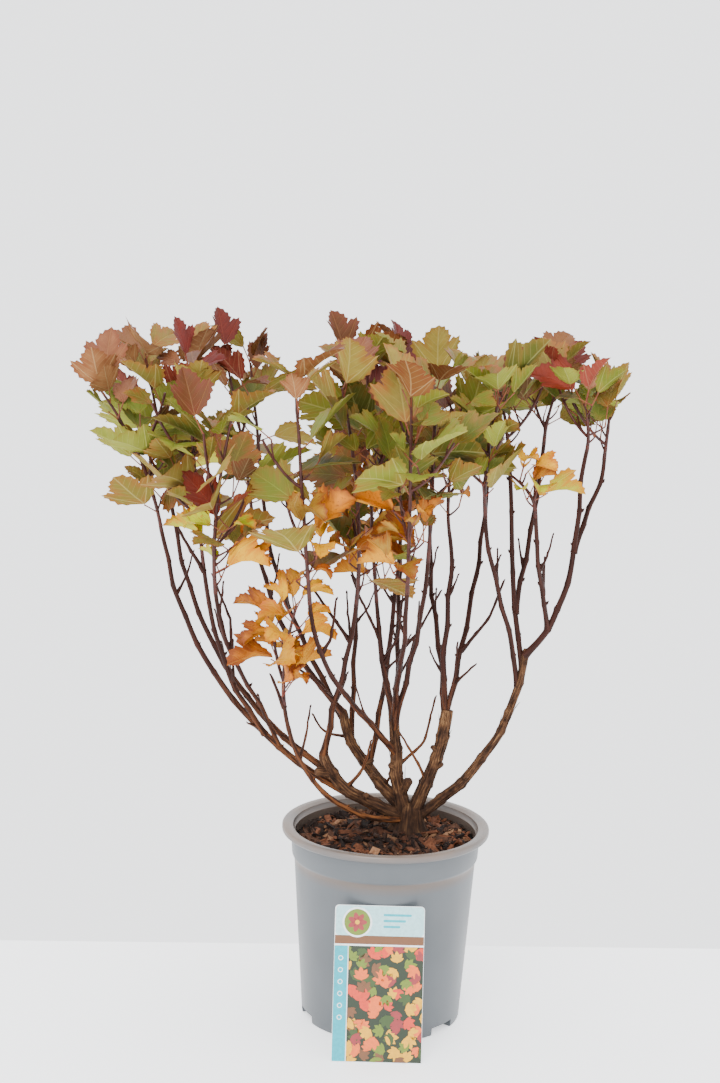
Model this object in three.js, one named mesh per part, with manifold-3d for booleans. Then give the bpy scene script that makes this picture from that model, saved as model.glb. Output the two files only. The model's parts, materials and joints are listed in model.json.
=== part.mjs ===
// A many-stemmed ninebark shrub in its nursery pot, with its plant card leaning on the pot.
// Millimetres, +Z up, origin at the centre of the pot's flat underside.
import * as THREE from "three";
import { mergeVertices } from "three/addons/utils/BufferGeometryUtils.js";
import Module from "manifold-3d";

const wasm = await Module();
wasm.setup();

// Driving dimensions
const GAP = 0.3;
const SEED = 1359;
const POT = {
  height: 220,
  footRadius: 89,
  shoulderRadius: 101.5,
  collarRadius: 104,
  collarFoot: 184,
  lipFoot: 212,
  lipRadius: 115.7,
  wall: 2.2,
  floor: 3,
  segments: 32,
};
const POT_FOOT = { step: 11.5, stepInner: 71, stepOuter: 75, notches: 6, height: 9, width: 34, inner: 76 };
const NOTCH_BEARING = 20;
const MULCH = { edge: 201, centre: 205, flatRadius: 42 };
const CARD = { width: 96, length: 165, thickness: 1.2, corner: 7, footDistance: 140, offset: -5 };
// The space that the whole crown keeps to: an upright oval, seen from above, and a top
const CROWN = { x: -54, y: 30, halfWidth: 303, halfDepth: 272, top: 786 };
const STOOL = { x: 26, y: 20, radius: 25, height: 34, stretch: 1.25, segments: 10 };
const LIMB = { sides: 5, steps: 8, tipRadius: 2.2, finish: 9 };
const OLD_STEM = { sides: 6, steps: 5, finish: 4 };
const STEM = { radius: 2.2, sideRadius: 1.8, tipRadius: 1.4, sides: 3, steps: 4 };
const SIDE_SHOOT = {
  length: [58, 84],
  lean: [28, 42],
  forks: [0.28, 0.55],
  longStem: 110,
  swings: [0, 75, -75, 150],
  mostOut: 0.86,
  leaves: 2,
  steps: 2,
};
const LEAF = {
  spacing: 29,
  turn: 137.5,
  size: [54, 76],
  young: 0.72,
  petiole: [14, 23],
  petioleRadius: 1.2,
  rootRadius: 0.5,
  thickness: 1.3,
  middle: 0.45,
  droop: [-18, 34],
  roll: 52,
  swings: [0, 42, -42, 80],
  fold: 0.2,
  curl: 0.14,
  clearance: 0.4,
  range: 105,
  slack: 18,
};
// Half of a leaf's outline, from its foot to its tip: across and along, as shares of its length.
const LEAF_HALF = [
  [0.36, 0.22],
  [0.5, 0.6],
  [0.25, 0.6],
];

// Old stems: name, bearing (degrees, 0 to the right, 90 to the back), reach and height of their end,
// splay, foot radius, end radius
const OLD_STEMS = [
  ["old_stem_left", 192, 100, 302, 58, 7.5, 6],
  ["old_stem_back", 156, 84, 336, 48, 7, 5],
  ["old_stem_centre", 196, 22, 345, 12, 8, 5.5],
  ["old_stem_right", 345, 40, 350, 24, 8, 6],
  ["old_stem_long", 351, 124, 424, 52, 6, 4],
];

// Canes: name, what they spring from, share of its length, bearing, reach and height of their end,
// height of their shoot's tip, drift of that tip outward, splay, foot radius, leaf colour
const CANES = [
  ["cane_left_low", "stool", 0, 188, 281, 550, 700, 66, 68, 4.6, "bronze"],
  ["cane_left_back", "old_stem_left", 0.8, 172, 279, 570, 728, 30, 62, 4, "olive"],
  ["cane_left_front", "cane_left_low", 0.42, 199, 242, 520, 726, 17, 40, 3.2, "crimson"],
  ["cane_left_thin", "cane_left_low", 0.37, 211, 247, 500, 680, -16, 30, 2.8, "green"],
  ["cane_left_inner", "old_stem_back", 0.96, 152, 212, 540, 724, 40, 52, 3.8, "crimson"],
  ["cane_knob", "old_stem_left", 0.97, 229, 100, 480, 712, 31, 16, 3.8, "green"],
  ["cane_front_mid", "old_stem_centre", 0.58, 232, 184, 495, 724, 30, 46, 3.8, "olive"],
  ["cane_back_inner", "old_stem_back", 0.45, 102, 82, 525, 718, 30, 26, 3.4, "olive"],
  ["cane_back_mid", "old_stem_back", 0.72, 112, 173, 486, 716, 45, 26, 3.2, "bronze"],
  ["cane_centre", "old_stem_centre", 0.97, 156, 47, 465, 720, 19, 24, 4, "olive"],
  ["cane_centre_front", "old_stem_centre", 0.9, 265, 155, 510, 712, 35, 32, 3.8, "green"],
  ["cane_centre_right", "old_stem_centre", 0.8, 275, 100, 534, 708, 10, 26, 3.6, "green"],
  ["cane_right_back", "old_stem_right", 0.86, 81, 116, 520, 704, 37, 18, 3.6, "crimson"],
  ["cane_right_mid", "old_stem_right", 0.96, 342, 36, 550, 706, 26, 10, 3.6, "amber"],
  ["cane_right_tall", "old_stem_long", 0.97, 344, 183, 650, 698, -6, 44, 3.8, "crimson"],
  ["cane_right_edge", "cane_right_tall", 0.54, 3, 203, 634, 690, 4, 26, 3, "green"],
  ["cane_right_inner", "old_stem_long", 0.8, 310, 106, 580, 706, 15, 10, 3, "green"],
  ["cane_right_rise", "old_stem_long", 0.9, 5, 98, 636, 704, -12, 16, 3.2, "bronze"],
  ["cane_right_far", "cane_right_rise", 0.26, 28, 161, 642, 700, 14, 22, 3, "crimson"],
  ["cane_right_bent", "cane_right_tall", 0.17, 317, 162, 586, 624, -34, 30, 2.8, "yellow"],
  ["cane_front_low", "stool", 0, 221, 183, 378, 484, -14, 82, 3.6, "amber"],
  ["cane_back_left", "old_stem_back", 0.6, 138, 241, 555, 716, 26, 40, 3.6, "olive"],
  ["cane_back_right", "old_stem_right", 0.5, 61, 176, 585, 692, 38, 38, 3.8, "bronze"],
  ["cane_back_far", "old_stem_centre", 0.66, 94, 201, 529, 720, 31, 34, 3.6, "crimson"],
];

const finish = (color, roughness) => new THREE.MeshStandardMaterial({ color, roughness, metalness: 0 });
const MATERIALS = {
  pot: finish(0x7d8286, 0.55),
  mulch: finish(0x5a3826, 0.95),
  card: finish(0xd9efef, 0.4),
  old: finish(0x7a5c44, 0.9),
  bark: finish(0x4a2a24, 0.7),
  bronze: finish(0x8f5a44, 0.6),
  olive: finish(0x8a8a4c, 0.6),
  green: finish(0x7f9150, 0.6),
  crimson: finish(0x7a2630, 0.6),
  amber: finish(0xd18a2c, 0.6),
  yellow: finish(0xd9b83a, 0.6),
};

const radians = THREE.MathUtils.degToRad;

// Joins and cuts

function solid(geometry) {
  const bare = geometry.clone();
  bare.deleteAttribute("normal");
  bare.deleteAttribute("uv");
  const merged = mergeVertices(bare, 1e-4);
  return new wasm.Manifold(
    new wasm.Mesh({
      numProp: 3,
      vertProperties: merged.attributes.position.array,
      triVerts: new Uint32Array(merged.index.array),
    }),
  );
}

// The largest body of a solid: cuts can leave scraps, and crossing leaves can seal a hollow.
function largest(body) {
  return body.decompose().reduce((best, piece) => (piece.volume() > best.volume() ? piece : best));
}

function toMesh(name, body, material) {
  const made = body.getMesh();
  const geometry = new THREE.BufferGeometry();
  geometry.setAttribute("position", new THREE.BufferAttribute(new Float32Array(made.vertProperties), 3));
  geometry.setIndex(new THREE.BufferAttribute(new Uint32Array(made.triVerts), 1));
  const flat = geometry.toNonIndexed();
  flat.computeVertexNormals();
  const mesh = new THREE.Mesh(flat, material);
  mesh.name = name;
  return mesh;
}

const overlaps = (a, b) => !a.intersect(b).isEmpty();

// Seeded numbers, so that the plant grows the same way each time

function seeded(seed) {
  let state = seed;
  return (low, high) => {
    state = (state * 1664525 + 1013904223) % 4294967296;
    return low + ((high - low) * state) / 4294967296;
  };
}

// A unit vector at an angle from vertical, towards a bearing
function leaning(bearing, angle) {
  return new THREE.Vector3(
    Math.cos(radians(bearing)) * Math.sin(radians(angle)),
    Math.sin(radians(bearing)) * Math.sin(radians(angle)),
    Math.cos(radians(angle)),
  );
}

// A point around the stool, from a bearing, a reach and a height
function around(bearing, reach, height) {
  return new THREE.Vector3(
    STOOL.x + reach * Math.cos(radians(bearing)),
    STOOL.y + reach * Math.sin(radians(bearing)),
    height,
  );
}

// A tapering limb: a straight prism of unit length, laid along a curve
function limb(curve, footRadius, endRadius, sides, steps) {
  const corners = Array.from({ length: sides }, (_, i) => {
    const angle = (2 * Math.PI * i) / sides;
    return new THREE.Vector2(Math.cos(angle), Math.sin(angle));
  });
  const prism = new THREE.ExtrudeGeometry(new THREE.Shape(corners), {
    depth: 1,
    steps,
    bevelEnabled: false,
  });
  const frames = curve.computeFrenetFrames(steps, false);
  const corner = prism.attributes.position;
  for (let i = 0; i < corner.count; i++) {
    const share = corner.getZ(i);
    const ring = Math.round(share * steps);
    const radius = footRadius + (endRadius - footRadius) * share;
    const point = curve
      .getPointAt(share)
      .addScaledVector(frames.normals[ring], radius * corner.getX(i))
      .addScaledVector(frames.binormals[ring], radius * corner.getY(i));
    corner.setXYZ(i, point.x, point.y, point.z);
  }
  return solid(prism);
}

// Pot, filling and card

// A closed profile of [radius, height] pairs, turned about the Z axis
function turned(profile) {
  const points = profile.map(([radius, height]) => new THREE.Vector2(radius, height));
  const lathe = new THREE.LatheGeometry(points, POT.segments);
  lathe.rotateX(Math.PI / 2);
  return solid(lathe);
}

const wallSlope = (POT.shoulderRadius - POT.footRadius) / POT.collarFoot;
const wallRadius = (height) => POT.footRadius + wallSlope * height;

function pot() {
  const { height, collarFoot, collarRadius, lipFoot, lipRadius, wall } = POT;
  const inner = collarRadius - wall;
  const body = turned([
    [0, 0],
    [POT.footRadius - 1.5, 0],
    [wallRadius(1.5), 1.5],
    [POT.shoulderRadius, collarFoot],
    [collarRadius, collarFoot + 3],
    [collarRadius + 1.5, lipFoot],
    [lipRadius - 2, lipFoot],
    [lipRadius, lipFoot + 3],
    [lipRadius, height - 3],
    [lipRadius - 3, height],
    [collarRadius + 3, height],
    [inner + 1.5, height - 3],
    [inner, collarFoot + 3],
    [POT.shoulderRadius - wall, collarFoot],
    [wallRadius(POT_FOOT.step) - wall, POT_FOOT.step],
    [POT_FOOT.stepOuter, POT_FOOT.step],
    [POT_FOOT.stepInner, POT.floor],
    [0, POT.floor],
  ]);
  const depth = 2 * (POT.footRadius - POT_FOOT.inner);
  let made = body;
  for (let i = 0; i < POT_FOOT.notches; i++) {
    const notch = new THREE.BoxGeometry(depth, POT_FOOT.width, 2 * POT_FOOT.height);
    notch.translate(POT_FOOT.inner + depth / 2, 0, 0);
    notch.rotateZ(radians(NOTCH_BEARING + (360 * i) / POT_FOOT.notches));
    made = made.subtract(solid(notch));
  }
  return made;
}

function mulch() {
  const { wall, collarFoot } = POT;
  const inset = wall + 2 * GAP;
  return turned([
    [0, POT.floor + GAP],
    [POT_FOOT.stepInner - 2 * GAP, POT.floor + GAP],
    [POT_FOOT.stepOuter - 2 * GAP, POT_FOOT.step + GAP],
    [wallRadius(POT_FOOT.step) - inset, POT_FOOT.step + GAP],
    [POT.shoulderRadius - inset, collarFoot],
    [POT.collarRadius - inset, collarFoot + 3],
    [POT.collarRadius - inset, MULCH.edge],
    [MULCH.flatRadius, MULCH.centre],
    [0, MULCH.centre],
  ]);
}

// The card stands on its lower edge in front of the pot, and its top edge rests on the pot's wall.
function card() {
  const { width, length, thickness, corner, footDistance, offset } = CARD;
  const outline = new THREE.Shape();
  const half = width / 2;
  outline.moveTo(-half, 0);
  outline.lineTo(half, 0);
  outline.lineTo(half, length - corner);
  outline.absarc(half - corner, length - corner, corner, 0, Math.PI / 2);
  outline.lineTo(corner - half, length);
  outline.absarc(corner - half, length - corner, corner, Math.PI / 2, Math.PI);
  const sheet = new THREE.ExtrudeGeometry(outline, {
    depth: thickness,
    bevelEnabled: false,
    curveSegments: 4,
  });
  const gone = footDistance - POT.footRadius - GAP;
  const lean = Math.asin(gone / (length * Math.hypot(1, wallSlope))) - Math.atan(wallSlope);
  sheet.rotateX(Math.PI / 2 - lean);
  sheet.translate(offset, -footDistance, thickness * Math.sin(lean) + GAP);
  return solid(sheet);
}

// Stool, old stems and canes

function stool(margin) {
  const { x, y, radius, height, stretch } = STOOL;
  const profile = [
    [0, -margin],
    [radius, -margin],
    [0.8 * radius, 0.18 * height],
    [0.62 * radius, 0.5 * height],
    [0.55 * radius, 0.82 * height],
    [0.3 * radius, height + margin],
    [0, height + margin],
  ];
  const points = profile.map(([across, up]) => new THREE.Vector2(across && across + margin, up));
  const lathe = new THREE.LatheGeometry(points, STOOL.segments);
  lathe.rotateX(Math.PI / 2);
  lathe.scale(stretch, 1, 1);
  lathe.translate(x, y, MULCH.centre + GAP);
  return solid(lathe);
}

// A curve that leaves its foot at a splay from vertical and rises to its end nearly upright
function rising(foot, end, splay, finishAngle) {
  const away = new THREE.Vector3(end.x - foot.x, end.y - foot.y, 0);
  const bearing = THREE.MathUtils.radToDeg(Math.atan2(away.y, away.x));
  const span = foot.distanceTo(end);
  const low = foot.clone().addScaledVector(leaning(bearing, splay), 0.4 * span);
  const high = end.clone().addScaledVector(leaning(bearing, finishAngle), -0.35 * span);
  return new THREE.CubicBezierCurve3(foot, low, high, end);
}

const stoolTop = MULCH.centre + 0.62 * STOOL.height;

function stoolFoot(bearing, splay) {
  const lift = splay > 50 ? -7 : 4;
  return around(bearing, 6, stoolTop + lift);
}

// A limb with its foot cut clear of what it springs from and of the limbs beside it
function grown(curve, footRadius, endRadius, shape, neighbours) {
  const clear = limb(curve, footRadius + GAP, endRadius + GAP, shape.sides, shape.steps);
  const whole = limb(curve, footRadius, endRadius, shape.sides, shape.steps);
  const body = largest(neighbours.reduce((left, other) => left.subtract(other), whole));
  return { curve, body, clear };
}

function growOldStems(limbs, stoolClear) {
  for (const [name, bearing, reach, height, splay, footRadius, endRadius] of OLD_STEMS) {
    const curve = rising(stoolFoot(bearing, splay), around(bearing, reach, height), splay, OLD_STEM.finish);
    const beside = [...limbs.values()].map((other) => other.clear);
    const made = grown(curve, footRadius, endRadius, OLD_STEM, [stoolClear, ...beside]);
    limbs.set(name, { ...made, parent: "stool", material: MATERIALS.old });
  }
}

function growCanes(limbs, stoolClear) {
  for (const [name, parent, share, bearing, reach, height, , , splay, footRadius] of CANES) {
    const from = limbs.get(parent);
    const foot = from ? from.curve.getPointAt(share) : stoolFoot(bearing, splay);
    const curve = rising(foot, around(bearing, reach, height), splay, LIMB.finish);
    const beside = [...limbs.values()].filter((other) => other.parent === parent || other === from);
    const cuts = [stoolClear, ...beside.map((other) => other.clear)];
    const made = grown(curve, footRadius, LIMB.tipRadius, LIMB, cuts);
    limbs.set(name, { ...made, parent, material: MATERIALS.bark });
  }
}

// Leaves

// Where one leaf may sit: its petiole's foot on the shoot, the blade's foot, and the blade's axes.
// The first choice follows the turn of the shoot, and the others swing to either side of it.
function leafPlaces(from, turn, tilt, size, draw) {
  const petiole = draw(LEAF.petiole[0], LEAF.petiole[1]);
  const droop = draw(LEAF.droop[0], LEAF.droop[1]);
  const roll = draw(-LEAF.roll, LEAF.roll);
  return LEAF.swings.map((swing) => {
    const foot = from.clone().addScaledVector(leaning(turn + swing, tilt), petiole);
    const along = leaning(turn + swing, tilt + droop);
    const normal = leaning(turn + swing, tilt + droop - 90);
    normal.applyAxisAngle(along, radians(roll));
    return { from, foot, along, normal, size };
  });
}

// A lobed blade on its three-sided petiole. The blade is thickest at its middle, folds up from its rib
// and curls to its tip. The petiole runs from the middle of the shoot to the blade's foot.
function leafBody({ from, foot, along, normal, size }, margin) {
  const side = new THREE.Vector3().crossVectors(along, normal);
  const length = size + 2 * margin;
  const half = LEAF.thickness / 2 + margin;
  const stalk = LEAF.petioleRadius + margin;
  const onBlade = (u, v, offset) =>
    foot
      .clone()
      .addScaledVector(side, u * length)
      .addScaledVector(along, v * length - margin)
      .addScaledVector(normal, (LEAF.fold * Math.abs(u) - LEAF.curl * v * v) * length + offset);
  const right = LEAF_HALF.map(([u, v]) => onBlade(u, v, 0));
  const left = LEAF_HALF.map(([u, v]) => onBlade(-u, v, 0)).reverse();
  const stalkRing = (centre, radius) => [
    centre.clone().addScaledVector(side, -radius),
    centre.clone().addScaledVector(side, radius),
    centre.clone().addScaledVector(normal, -1.4 * radius),
  ];
  const [footLeft, footRight, footUnder] = stalkRing(foot, stalk);
  const ring = [footRight, ...right, onBlade(0, 1, 0), ...left, footLeft];
  const middle = [onBlade(0, LEAF.middle, half), onBlade(0, LEAF.middle, -half)];
  const points = [...ring, ...middle, footUnder, ...stalkRing(from, LEAF.rootRadius)];
  const last = ring.length - 1;
  const [over, under, keel, rootLeft, rootRight, rootUnder] = [1, 2, 3, 4, 5, 6].map((i) => last + i);
  const faces = ring.slice(1).flatMap((_, i) => [i, i + 1, over, i + 1, i, under]);
  faces.push(last, 0, over, under, 0, keel, under, keel, last);
  faces.push(rootLeft, rootRight, 0, rootLeft, 0, last, 0, rootRight, rootUnder, 0, rootUnder, keel);
  faces.push(rootLeft, last, keel, rootLeft, keel, rootUnder, rootRight, rootLeft, rootUnder);
  const geometry = new THREE.BufferGeometry().setFromPoints(points);
  geometry.setIndex(faces);
  return solid(geometry);
}

// A shoot carries leaves turning round it, steeper towards its tip, and a few young ones at its end.
function shootLeaves(curve, count, ending, draw) {
  const phase = draw(0, 360);
  const places = [];
  for (let i = 0; i < count; i++) {
    const share = (i + 0.7) / count;
    const tilt = 66 - 30 * share + draw(-14, 14);
    const size = draw(LEAF.size[0], LEAF.size[1]) * (1 - 0.1 * share);
    places.push(leafPlaces(curve.getPoint(share), phase + LEAF.turn * i, tilt, size, draw));
  }
  for (let i = 0; i < ending; i++) {
    const turn = phase + LEAF.turn * count + (360 * i) / ending;
    const size = draw(LEAF.size[0], LEAF.size[1]) * LEAF.young;
    places.push(leafPlaces(curve.getPoint(0.99 - 0.05 * i), turn, draw(14, 34), size, draw));
  }
  return places;
}

// A mass's main stem goes on from its cane's end.
function growth([name, , , bearing, reach, height, crest, drift, , , colour], caneCurve, seed) {
  const heading = caneCurve.getTangent(1);
  const foot = around(bearing, reach, height).addScaledVector(heading, GAP);
  const tip = around(bearing, reach + drift, crest);
  const length = foot.distanceTo(tip);
  const bend = foot.clone().addScaledVector(heading, 0.45 * length);
  const stem = new THREE.QuadraticBezierCurve3(foot, bend, tip);
  return {
    name: name.replace("cane", "leaves"),
    material: MATERIALS[colour],
    seed,
    stem,
    body: limb(stem, STEM.radius, STEM.tipRadius, STEM.sides, STEM.steps),
    leaves: shootLeaves(stem, Math.round(length / LEAF.spacing), 3, seeded(seed)),
    forks: length > SIDE_SHOOT.longStem ? SIDE_SHOOT.forks : SIDE_SHOOT.forks.slice(0, 1),
  };
}

// The ways one side shoot may go from its mass's stem: the first choice, then swings to either side of it
function sideShoots(mass, number, draw) {
  const from = mass.stem.getPoint(mass.forks[number]);
  const span = draw(SIDE_SHOOT.length[0], SIDE_SHOOT.length[1]);
  const lean = draw(SIDE_SHOOT.lean[0], SIDE_SHOOT.lean[1]);
  const turn = draw(0, 180) + 180 * number;
  return SIDE_SHOOT.swings.map((swing) => {
    const knee = from.clone().addScaledVector(leaning(turn + swing, lean + 22), 0.4 * span);
    const end = from.clone().addScaledVector(leaning(turn + swing, lean), span);
    return new THREE.QuadraticBezierCurve3(from, knee, end);
  });
}

// The distance from a point to a stem
function distanceTo(stem, point) {
  return Math.min(...stem.getPoints(6).map((other) => other.distanceTo(point)));
}

// How far out a point is in the crown's space, where 1 is its edge
const crownShare = (point) =>
  Math.hypot((point.x - CROWN.x) / CROWN.halfWidth, (point.y - CROWN.y) / CROWN.halfDepth);

// A mass keeps to its own space: the points nearer to its stem than to another's, with a little slack.
// The whole leaf stays inside the crown's space.
function inOwnSpace(place, mass, masses) {
  const centre = place.foot.clone().addScaledVector(place.along, 0.5 * place.size);
  const tip = place.foot.clone().addScaledVector(place.along, place.size);
  if (crownShare(tip) > 1 || tip.z > CROWN.top) return false;
  const own = distanceTo(mass.stem, centre);
  const others = masses.map((other) => (other === mass ? Infinity : distanceTo(other.stem, centre)));
  return own < LEAF.range && own < Math.min(...others) + LEAF.slack;
}

// A leaf fits where it is in its mass's space and clear of the wood, the other masses and its neighbours.
function fits(place, mass, masses, clearOfOthers) {
  if (!inOwnSpace(place, mass, masses)) return false;
  if (!clearOfOthers(leafBody(place, LEAF.clearance), mass)) return false;
  const beyondShoot = { ...place, from: place.from.clone().lerp(place.foot, 0.7) };
  return !overlaps(leafBody(beyondShoot, LEAF.clearance), mass.body);
}

// Side shoots come first and leaves after them, one for each mass in turn, so that all get a share.
function growMasses(limbs, wood) {
  const masses = CANES.map((cane, i) => growth(cane, limbs.get(cane[0]).curve, SEED + 7919 * i));
  const clearOfOthers = (body, mass) =>
    !overlaps(body, wood) && masses.every((other) => other === mass || !overlaps(body, other.body));
  const shoot = (curve, margin) =>
    limb(curve, STEM.sideRadius + margin, STEM.tipRadius + margin, STEM.sides, SIDE_SHOOT.steps);
  for (const mass of masses) {
    mass.forks.forEach((_, number) => {
      const draw = seeded(mass.seed + 31 * (number + 1));
      const curve = sideShoots(mass, number, draw).find(
        (choice) =>
          crownShare(choice.v2) < SIDE_SHOOT.mostOut && clearOfOthers(shoot(choice, LEAF.clearance), mass),
      );
      if (!curve) return;
      mass.body = mass.body.add(shoot(curve, 0));
      mass.leaves.push(...shootLeaves(curve, SIDE_SHOOT.leaves, 1, draw));
    });
  }
  const most = Math.max(...masses.map((mass) => mass.leaves.length));
  for (let rank = 0; rank < most; rank++) {
    for (const mass of masses) {
      if (!mass.leaves[rank]) continue;
      const place = mass.leaves[rank].find((choice) => fits(choice, mass, masses, clearOfOthers));
      if (place) mass.body = mass.body.add(leafBody(place, 0));
    }
  }
  return masses;
}

// The whole plant

const plant = new THREE.Group();
plant.add(toMesh("pot", pot(), MATERIALS.pot));
plant.add(toMesh("mulch", mulch(), MATERIALS.mulch));
plant.add(toMesh("plant_card", card(), MATERIALS.card));
plant.add(toMesh("stool", stool(0), MATERIALS.old));

const limbs = new Map();
const stoolClear = stool(GAP);
growOldStems(limbs, stoolClear);
growCanes(limbs, stoolClear);
for (const [name, { body, material }] of limbs) plant.add(toMesh(name, body, material));

const wood = [...limbs.values()].reduce((all, { body }) => all.add(body), stoolClear);
for (const { name, body, material } of growMasses(limbs, wood)) {
  plant.add(toMesh(name, largest(body), material));
}

export default plant;
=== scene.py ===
# %% [markdown]
# # A ninebark shrub in its nursery pot
#
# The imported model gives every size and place. It is loaded first, as a fixed frame, and each piece made
# below stands where the frame says. All lengths in Blender are metres. The plant's own table, further down,
# is in millimetres, as a grower would measure it.

# %% The frame
import json
import math

import bpy
import numpy as np
from mathutils import Matrix, Vector
from mathutils.bvhtree import BVHTree

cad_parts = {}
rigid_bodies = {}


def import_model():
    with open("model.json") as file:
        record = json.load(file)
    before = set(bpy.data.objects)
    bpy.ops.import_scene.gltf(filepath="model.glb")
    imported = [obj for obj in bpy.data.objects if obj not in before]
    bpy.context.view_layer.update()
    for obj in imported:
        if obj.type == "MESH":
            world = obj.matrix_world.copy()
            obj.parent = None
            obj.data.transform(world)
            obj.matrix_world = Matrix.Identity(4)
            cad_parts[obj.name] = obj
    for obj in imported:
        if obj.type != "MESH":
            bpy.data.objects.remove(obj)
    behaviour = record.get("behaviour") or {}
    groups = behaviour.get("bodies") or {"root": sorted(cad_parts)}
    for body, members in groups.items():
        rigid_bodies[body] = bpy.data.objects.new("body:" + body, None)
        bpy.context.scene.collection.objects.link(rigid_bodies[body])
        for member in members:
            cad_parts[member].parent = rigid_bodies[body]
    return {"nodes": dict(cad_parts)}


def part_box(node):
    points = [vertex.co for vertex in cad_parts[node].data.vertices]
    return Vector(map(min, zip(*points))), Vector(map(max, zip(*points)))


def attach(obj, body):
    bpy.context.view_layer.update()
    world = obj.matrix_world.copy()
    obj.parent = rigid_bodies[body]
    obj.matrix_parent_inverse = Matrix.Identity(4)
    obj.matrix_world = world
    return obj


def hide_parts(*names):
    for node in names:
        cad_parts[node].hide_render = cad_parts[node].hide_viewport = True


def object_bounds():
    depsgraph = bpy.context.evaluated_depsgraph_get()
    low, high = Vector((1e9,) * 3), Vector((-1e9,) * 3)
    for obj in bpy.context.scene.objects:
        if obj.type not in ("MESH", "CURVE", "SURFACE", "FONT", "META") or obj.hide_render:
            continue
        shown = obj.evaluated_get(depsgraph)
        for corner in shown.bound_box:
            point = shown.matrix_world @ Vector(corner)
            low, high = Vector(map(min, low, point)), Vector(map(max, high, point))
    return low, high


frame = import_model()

cad_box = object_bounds()
MM = 0.001
print("frame:", len(frame["nodes"]), "solids")

# %% [markdown]
# ## Camera, light and floor
#
# The camera stands where the photograph was taken from: two metres away, a little above the crown's top,
# looking slightly down, and turned a degree and a half. A white studio gives light from every side, so the
# world is bright and nearly white. A large soft lamp beside the camera adds a direction, and a weak one
# above the plant lights the leaves' upper sides. Sun lamps could do it too, but their shadows are too crisp.

# %% Camera
# the picture's size and the focal length are in pixels, and the sensor's side is in millimetres
EYE = (-0.0372, -1.9908, 0.8707)
LOOK_DOWN = math.radians(9.47)
ROLL = math.radians(1.55)
PICTURE_WIDTH = 720
PICTURE_HEIGHT = 1083
FOCAL_LENGTH_IN_PIXELS = 1850
SENSOR = 36

bpy.ops.object.camera_add(location=EYE)
camera = bpy.context.object
turn_up = Matrix.Rotation(math.radians(90) - LOOK_DOWN, 4, "X")
camera.rotation_euler = (turn_up @ Matrix.Rotation(ROLL, 4, "Z")).to_euler()
camera.data.sensor_width = SENSOR
camera.data.lens = SENSOR * FOCAL_LENGTH_IN_PIXELS / PICTURE_HEIGHT
camera.data.clip_start = 0.05
bpy.context.scene.camera = camera
print("camera lens:", round(camera.data.lens, 1), "mm")

# %% Light
CROWN_MIDDLE = Vector((0, 0, 0.5))
STUDIO_WHITE = (0.97, 0.98, 1.0, 1)
STUDIO_STRENGTH = 2.6


def soft_lamp(name, place, size, power):
    """A round lamp that points at the crown, its size in metres and its power in watts"""
    bpy.ops.object.light_add(type="AREA", location=place)
    lamp = bpy.context.object
    lamp.name = name
    lamp.data.shape = "DISK"
    lamp.data.size = size
    lamp.data.energy = power
    lamp.rotation_euler = (CROWN_MIDDLE - lamp.location).to_track_quat("-Z", "Y").to_euler()


soft_lamp("key_lamp", (-0.7, -2.2, 1.7), 1.7, 64)
soft_lamp("top_lamp", (0.1, 0.5, 2.6), 1.8, 12)

world = bpy.data.worlds.new("studio")
bpy.context.scene.world = world
world.use_nodes = True
studio_light = world.node_tree.nodes["Background"]
studio_light.inputs["Color"].default_value = STUDIO_WHITE
studio_light.inputs["Strength"].default_value = STUDIO_STRENGTH

# %% [markdown]
# ## Finishes
#
# Every finish is a small tree of nodes around one Principled shader. Colours are written as the six hex
# digits that a paint program shows, and turned to linear light here. A helper adds a node and sets its
# sockets, so that each finish reads as a short recipe.

# %% Helpers for finishes
def light_of(shown):
    """The linear value of one colour channel as it is shown, from 0 to 1"""
    return shown / 12.92 if shown <= 0.04045 else ((shown + 0.055) / 1.055) ** 2.4


def tint(digits):
    channels = [int(digits[i:i + 2], 16) / 255 for i in (0, 2, 4)]
    return (*[light_of(channel) for channel in channels], 1)


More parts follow.
